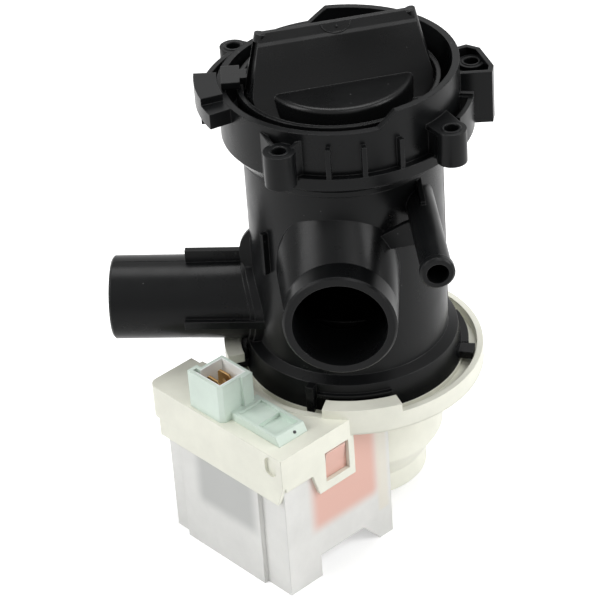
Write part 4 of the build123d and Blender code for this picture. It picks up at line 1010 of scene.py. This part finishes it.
@dataclass
class CoilBlock:
    """Cream flange, milky cover, core, bobbins and coils, in millimetres and degrees."""

    coil_middle: float = 14.5
    coil_half_width: float = 12.7
    coil_half_height: float = 17.4
    core_middle: float = -132.0
    lap_front: float = -45.0
    lap_back: float = -27.0
    lap_corner: float = 3.0
    lap_steps: int = 3
    lap_radius: float = 0.22
    plate_mark: Point = (-24.0, -38.0, -104.0)
    plate_mark_radius: float = 1.2
    plate_mark_rise: float = 0.1
    pole_floor: float = -154.0
    gate_radius: float = 1.6
    gate_rise: float = 0.5
    dish_radius: float = 45.7
    dish_parting_z: float = -110.1
    dish_parting_radius: float = 0.13
    dish_step: int = 5

    def lap_outline(self, middle: float, t: float) -> list[Vector]:
        """Points of one lap of tape round a coil.

        Args:
            middle: Middle of the coil across the block.
            t: Place of the lap along the core's legs.

        Returns:
            The points.
        """
        flat_s, flat_z = self.coil_half_width - self.lap_corner, self.coil_half_height - self.lap_corner
        points = []
        for cs, cz, first in ((1, 1, 0), (-1, 1, 90), (-1, -1, 180), (1, -1, 270)):
            for step in range(self.lap_steps + 1):
                a = math.radians(first + 90 * step / self.lap_steps)
                s = cs * flat_s + self.lap_corner * math.cos(a)
                z = cz * flat_z + self.lap_corner * math.sin(a)
                points.append(in_block(middle + s, t, self.core_middle + z))
        return points

    def tape_edges(self) -> None:
        """Laps of the coils' tape, one ridge round each coil at two places."""
        for number, side in TWINS:
            for lap, t in (("front", self.lap_front), ("back", self.lap_back)):
                points = self.lap_outline(side * self.coil_middle, t)
                Mesher.wire(f"tape_lap_{number}_{lap}", points, self.lap_radius, ON_COIL, closed=True)

    def flange_marks(self) -> None:
        """Ejector mark on the bracket's plate and a gate nub under the pole housing."""
        mesh = bmesh.new()
        Mesher.disc(mesh, in_block(*self.plate_mark), UP, self.plate_mark_radius, self.plate_mark_rise)
        Mesher.disc(mesh, UP * self.pole_floor * MM, -UP, self.gate_radius, self.gate_rise)
        Mesher.piece("flange_marks", mesh, ON_FLANGE)

    def dish_line(self) -> None:
        """Parting line round the dish, where its wall meets its plate."""
        points = [around(self.dish_radius, a, self.dish_parting_z) for a in range(0, 360, self.dish_step)]
        Mesher.wire("dish_parting", points, self.dish_parting_radius, ON_FLANGE, closed=True)

    def build(self) -> None:
        """Dresses the block's pieces and adds tape laps and mould marks."""
        dress({
            "motor_flange": CREAM, "coil_cover": MILKY, "stator_core": STACK, "core_rivets": STEEL,
            "bobbin_1": MINT, "bobbin_2": MINT, "coil_1": TAPE, "coil_2": TAPE,
        })
        self.tape_edges()
        self.flange_marks()
        self.dish_line()


@dataclass
class Connector:
    """Mint socket and tray with two brass tabs, in millimetres.

    Attributes that aren't plain sizes:
        right, front, back: Inner walls of the socket, in the block's directions.
        rib_root, rib_nose: Ends of a guide rib, from the right wall.
        blade_s, blade_t: Middle of the pair of tabs, in the block's directions.
        bead_start, bead_end: Ends of the tabs' bead, below their top.
        pip_rake: Rise of the pip's direction for each unit across the block.
    """

    top: float = -89.0
    floor: float = -100.0
    right: float = 0.0
    front: float = -62.5
    back: float = -51.5
    rib_from_end: float = 3.2
    rib_drop: float = 1.2
    rib_root: float = 0.2
    rib_root_half: float = 0.5
    rib_nose: float = -0.8
    rib_nose_half: float = 0.4
    rib_bevel: float = 0.15
    blade_s: float = -6.75
    blade_t: float = -57.0
    blade_pitch: float = 5.0
    blade_half: float = 0.42
    blade_top: float = -91.0
    bead_start: float = 4.4
    bead_end: float = 8.0
    bead_radius: float = 0.28
    pip_place: Point = (24.6, -52.0, -102.2)
    pip_rake: float = 0.6
    pip_radius: float = 0.55
    pip_rise: float = 0.4
    pip_sides: int = 16

    def guide_ribs(self) -> None:
        """Two slim ribs inside the socket that guide the plug."""
        mesh = bmesh.new()
        section = (
            (self.rib_nose, -self.rib_nose_half), (self.rib_root, -self.rib_root_half),
            (self.rib_root, self.rib_root_half), (self.rib_nose, self.rib_nose_half),
        )
        for t in (self.front + self.rib_from_end, self.back - self.rib_from_end):
            outline = [in_block(self.right + a, t + b, self.floor) for a, b in section]
            Mesher.prism(mesh, outline, UP * (self.top - self.floor - self.rib_drop) * MM)
        Mesher.piece("plug_guides", mesh, ON_SOCKET, self.rib_bevel * MM)

    def tab_beads(self) -> None:
        """Pressed bead down the middle of each tab's face."""
        for number, side in TWINS:
            t = self.blade_t + side * self.blade_pitch / 2 - self.blade_half
            points = [in_block(self.blade_s, t, self.blade_top - drop) for drop in (self.bead_start, self.bead_end)]
            Mesher.wire(f"tab_bead_{number}", points, self.bead_radius, ON_TAB)

    def tray_pip(self) -> None:
        """Small dark pip on the tray's sloping end."""
        pip = bmesh.new()
        facing = (BLOCK_S + UP * self.pip_rake).normalized()
        Mesher.disc(pip, in_block(*self.pip_place), facing, self.pip_radius, self.pip_rise, steps=self.pip_sides)
        Mesher.piece("tray_pip", pip, ON_TRAY)

    def build(self) -> None:
        """Dresses socket and tabs and adds their fine details."""
        dress({"terminal_housing": MINT, "terminal_blade_1": BRASS, "terminal_blade_2": BRASS})
        self.guide_ribs()
        self.tab_beads()
        self.tray_pip()


@dataclass
class RunningGear:
    """Rotor, bearings and impeller, all inside, in millimetres and degrees."""

    blade_count: int = 6
    root_reach: float = 6.9
    root_turn: float = 8.5
    root_foot: float = -103.0
    root_top: float = -90.5
    root_radius: float = 0.45

    def blade_roots(self) -> None:
        """Small fillets where the impeller's blades leave its hub."""
        for k in range(self.blade_count):
            for side, turn in (("left", -self.root_turn), ("right", self.root_turn)):
                angle = 360.0 * k / self.blade_count + turn
                points = [around(self.root_reach, angle, z) for z in (self.root_foot, self.root_top)]
                Mesher.wire(f"blade_root_{k + 1}_{side}", points, self.root_radius, ON_IMPELLER)

    def build(self) -> None:
        """Dresses the hidden running gear."""
        dress({
            "bearing_holder": DARK, "front_bearing": DARK, "rear_bearing": DARK, "rear_bearing_mount": RUBBER,
            "rotor_shaft": STEEL, "rotor_magnet": FERRITE, "rotor_sleeve": DARK, "thrust_washer_front": DARK,
            "thrust_washer_rear": DARK, "drive_dog": DARK, "impeller": GREY, "impeller_cover": GREY,
        })
        self.blade_roots()


# Studio


@dataclass(frozen=True)
class Lamp:
    """Rectangular soft light, in metres and watts."""

    name: str
    place: Point
    size: Pair
    watts: float

    def build(self, target: Vector) -> None:
        """Adds the lamp to the scene.

        Args:
            target: Point that it looks at.
        """
        data = bpy.data.lights.new(self.name, "AREA")
        data.shape = "RECTANGLE"
        data.size, data.size_y = self.size
        data.energy = self.watts
        obj = bpy.data.objects.new(self.name, data)
        bpy.context.scene.collection.objects.link(obj)
        obj.location = self.place
        aim = target - Vector(self.place)
        obj.rotation_euler = aim.to_track_quat("-Z", "Y").to_euler()


@dataclass
class Studio:
    """Camera, floor and lights, in metres.

    Attributes that aren't plain sizes:
        eye, right, up, forward: Place and directions of the photograph's camera.
        lens, sensor: Its focal length and sensor width, in millimetres.
        floor_glow: Light that the floor adds where it is seen as background.
        surround_light: Strength of the world as light; as background it is 1.
        aim: Point that the lamps look at.
    """

    eye: Point = (0.0611, -0.7549, 0.4191)
    right: Point = (0.9961, 0.0642, -0.0602)
    up: Point = (0.0143, 0.5566, 0.8306)
    forward: Point = (-0.0869, 0.8283, -0.5535)
    lens: float = 155.84
    sensor: float = 36.0
    sight: float = 20.0
    floor_half: float = 1.1
    floor_grey: float = 0.86
    floor_roughness: float = 0.7
    floor_glow: float = 0.42
    surround_light: float = 0.24
    aim: Point = (0.0, 0.0, -0.06)
    lamps: tuple[Lamp, ...] = (
        Lamp("left_softbox", (-1.0, -0.40, 0.70), (0.5, 0.9), 8.4),
        Lamp("right_softbox", (1.05, -0.25, 0.55), (0.45, 0.9), 8.6),
        Lamp("top_softbox", (0.0, 0.35, 1.15), (0.9, 0.6), 9.6),
        Lamp("front_softbox", (0.45, -0.78, 1.0), (0.6, 0.35), 2.3),
    )

    def camera(self) -> None:
        """Puts the camera where the photograph was taken from."""
        data = bpy.data.cameras.new("camera")
        data.lens = self.lens
        data.sensor_width = self.sensor
        data.clip_end = self.sight
        cam = bpy.data.objects.new("camera", data)
        bpy.context.scene.collection.objects.link(cam)
        right, up, back = Vector(self.right), Vector(self.up), -Vector(self.forward)
        turn = Matrix((right, up, back)).transposed().to_4x4()
        cam.matrix_world = Matrix.Translation(Vector(self.eye)) @ turn
        bpy.context.scene.camera = cam
        log.info("camera placed")

    def background_rays(self, wiring: Wiring) -> bpy.types.NodeSocket:
        """Tells the rays that show the background from those that only light.

        Args:
            wiring: Wiring of the floor or of the world.

        Returns:
            Socket that is one for camera, glossy and transmission rays.
        """
        path = wiring.add("ShaderNodeLightPath").outputs
        shown = wiring.maths("MAXIMUM", path["Is Camera Ray"], path["Is Glossy Ray"])
        return wiring.maths("MAXIMUM", shown, path["Is Transmission Ray"])

    def floor_material(self) -> bpy.types.Material:
        """Makes the floor's material, which glows a little where it is seen.

        Returns:
            The material.
        """
        mat = bpy.data.materials.new("pale_floor")
        mat.use_nodes = True
        wiring = Wiring(mat.node_tree)
        shader = wiring.nodes["Principled BSDF"]
        shader.inputs["Base Color"].default_value = (*[self.floor_grey] * 3, 1.0)
        shader.inputs["Roughness"].default_value = self.floor_roughness
        strength = wiring.maths("MULTIPLY", self.background_rays(wiring), self.floor_glow)
        glow = wiring.add("ShaderNodeEmission", {"Strength": strength})
        both = wiring.add("ShaderNodeAddShader", {0: shader.outputs["BSDF"], 1: glow.outputs["Emission"]})
        wiring.feed(wiring.nodes["Material Output"].inputs["Surface"], both.outputs["Shader"])
        return mat

    def floor(self) -> None:
        """Lays a pale floor that keeps the shadow."""
        mesh = bmesh.new()
        half = self.floor_half
        corners = [(-half, -half), (half, -half), (half, half), (-half, half)]
        mesh.faces.new([mesh.verts.new((x, y, FLOOR_Z)) for x, y in corners])
        data = bpy.data.meshes.new("floor")
        mesh.to_mesh(data)
        mesh.free()
        data.materials.append(self.floor_material())
        obj = bpy.data.objects.new("floor", data)
        bpy.context.scene.collection.objects.link(obj)

    def world(self) -> None:
        """Sets a soft pale surround."""
        world = bpy.data.worlds.new("studio")
        bpy.context.scene.world = world
        world.use_nodes = True
        wiring = Wiring(world.node_tree)
        back = wiring.nodes["Background"].inputs
        back["Color"].default_value = (1.0, 1.0, 1.0, 1.0)
        shown = self.background_rays(wiring)
        wiring.feed(back["Strength"], wiring.ranged(shown, target=(self.surround_light, 1.0)))

    def build(self) -> None:
        """Sets up the whole studio."""
        self.camera()
        self.floor()
        self.world()
        for lamp in self.lamps:
            lamp.build(Vector(self.aim))
        bpy.context.scene.view_settings.view_transform = "Standard"


def main() -> None:
    """Builds the studio and every sub-assembly in order."""
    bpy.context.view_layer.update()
    Studio().build()
    for part in (PumpHousing(), CapAndFilter(), CoilBlock(), Connector(), RunningGear()):
        part.build()


if __name__ == "__main__":
    main()
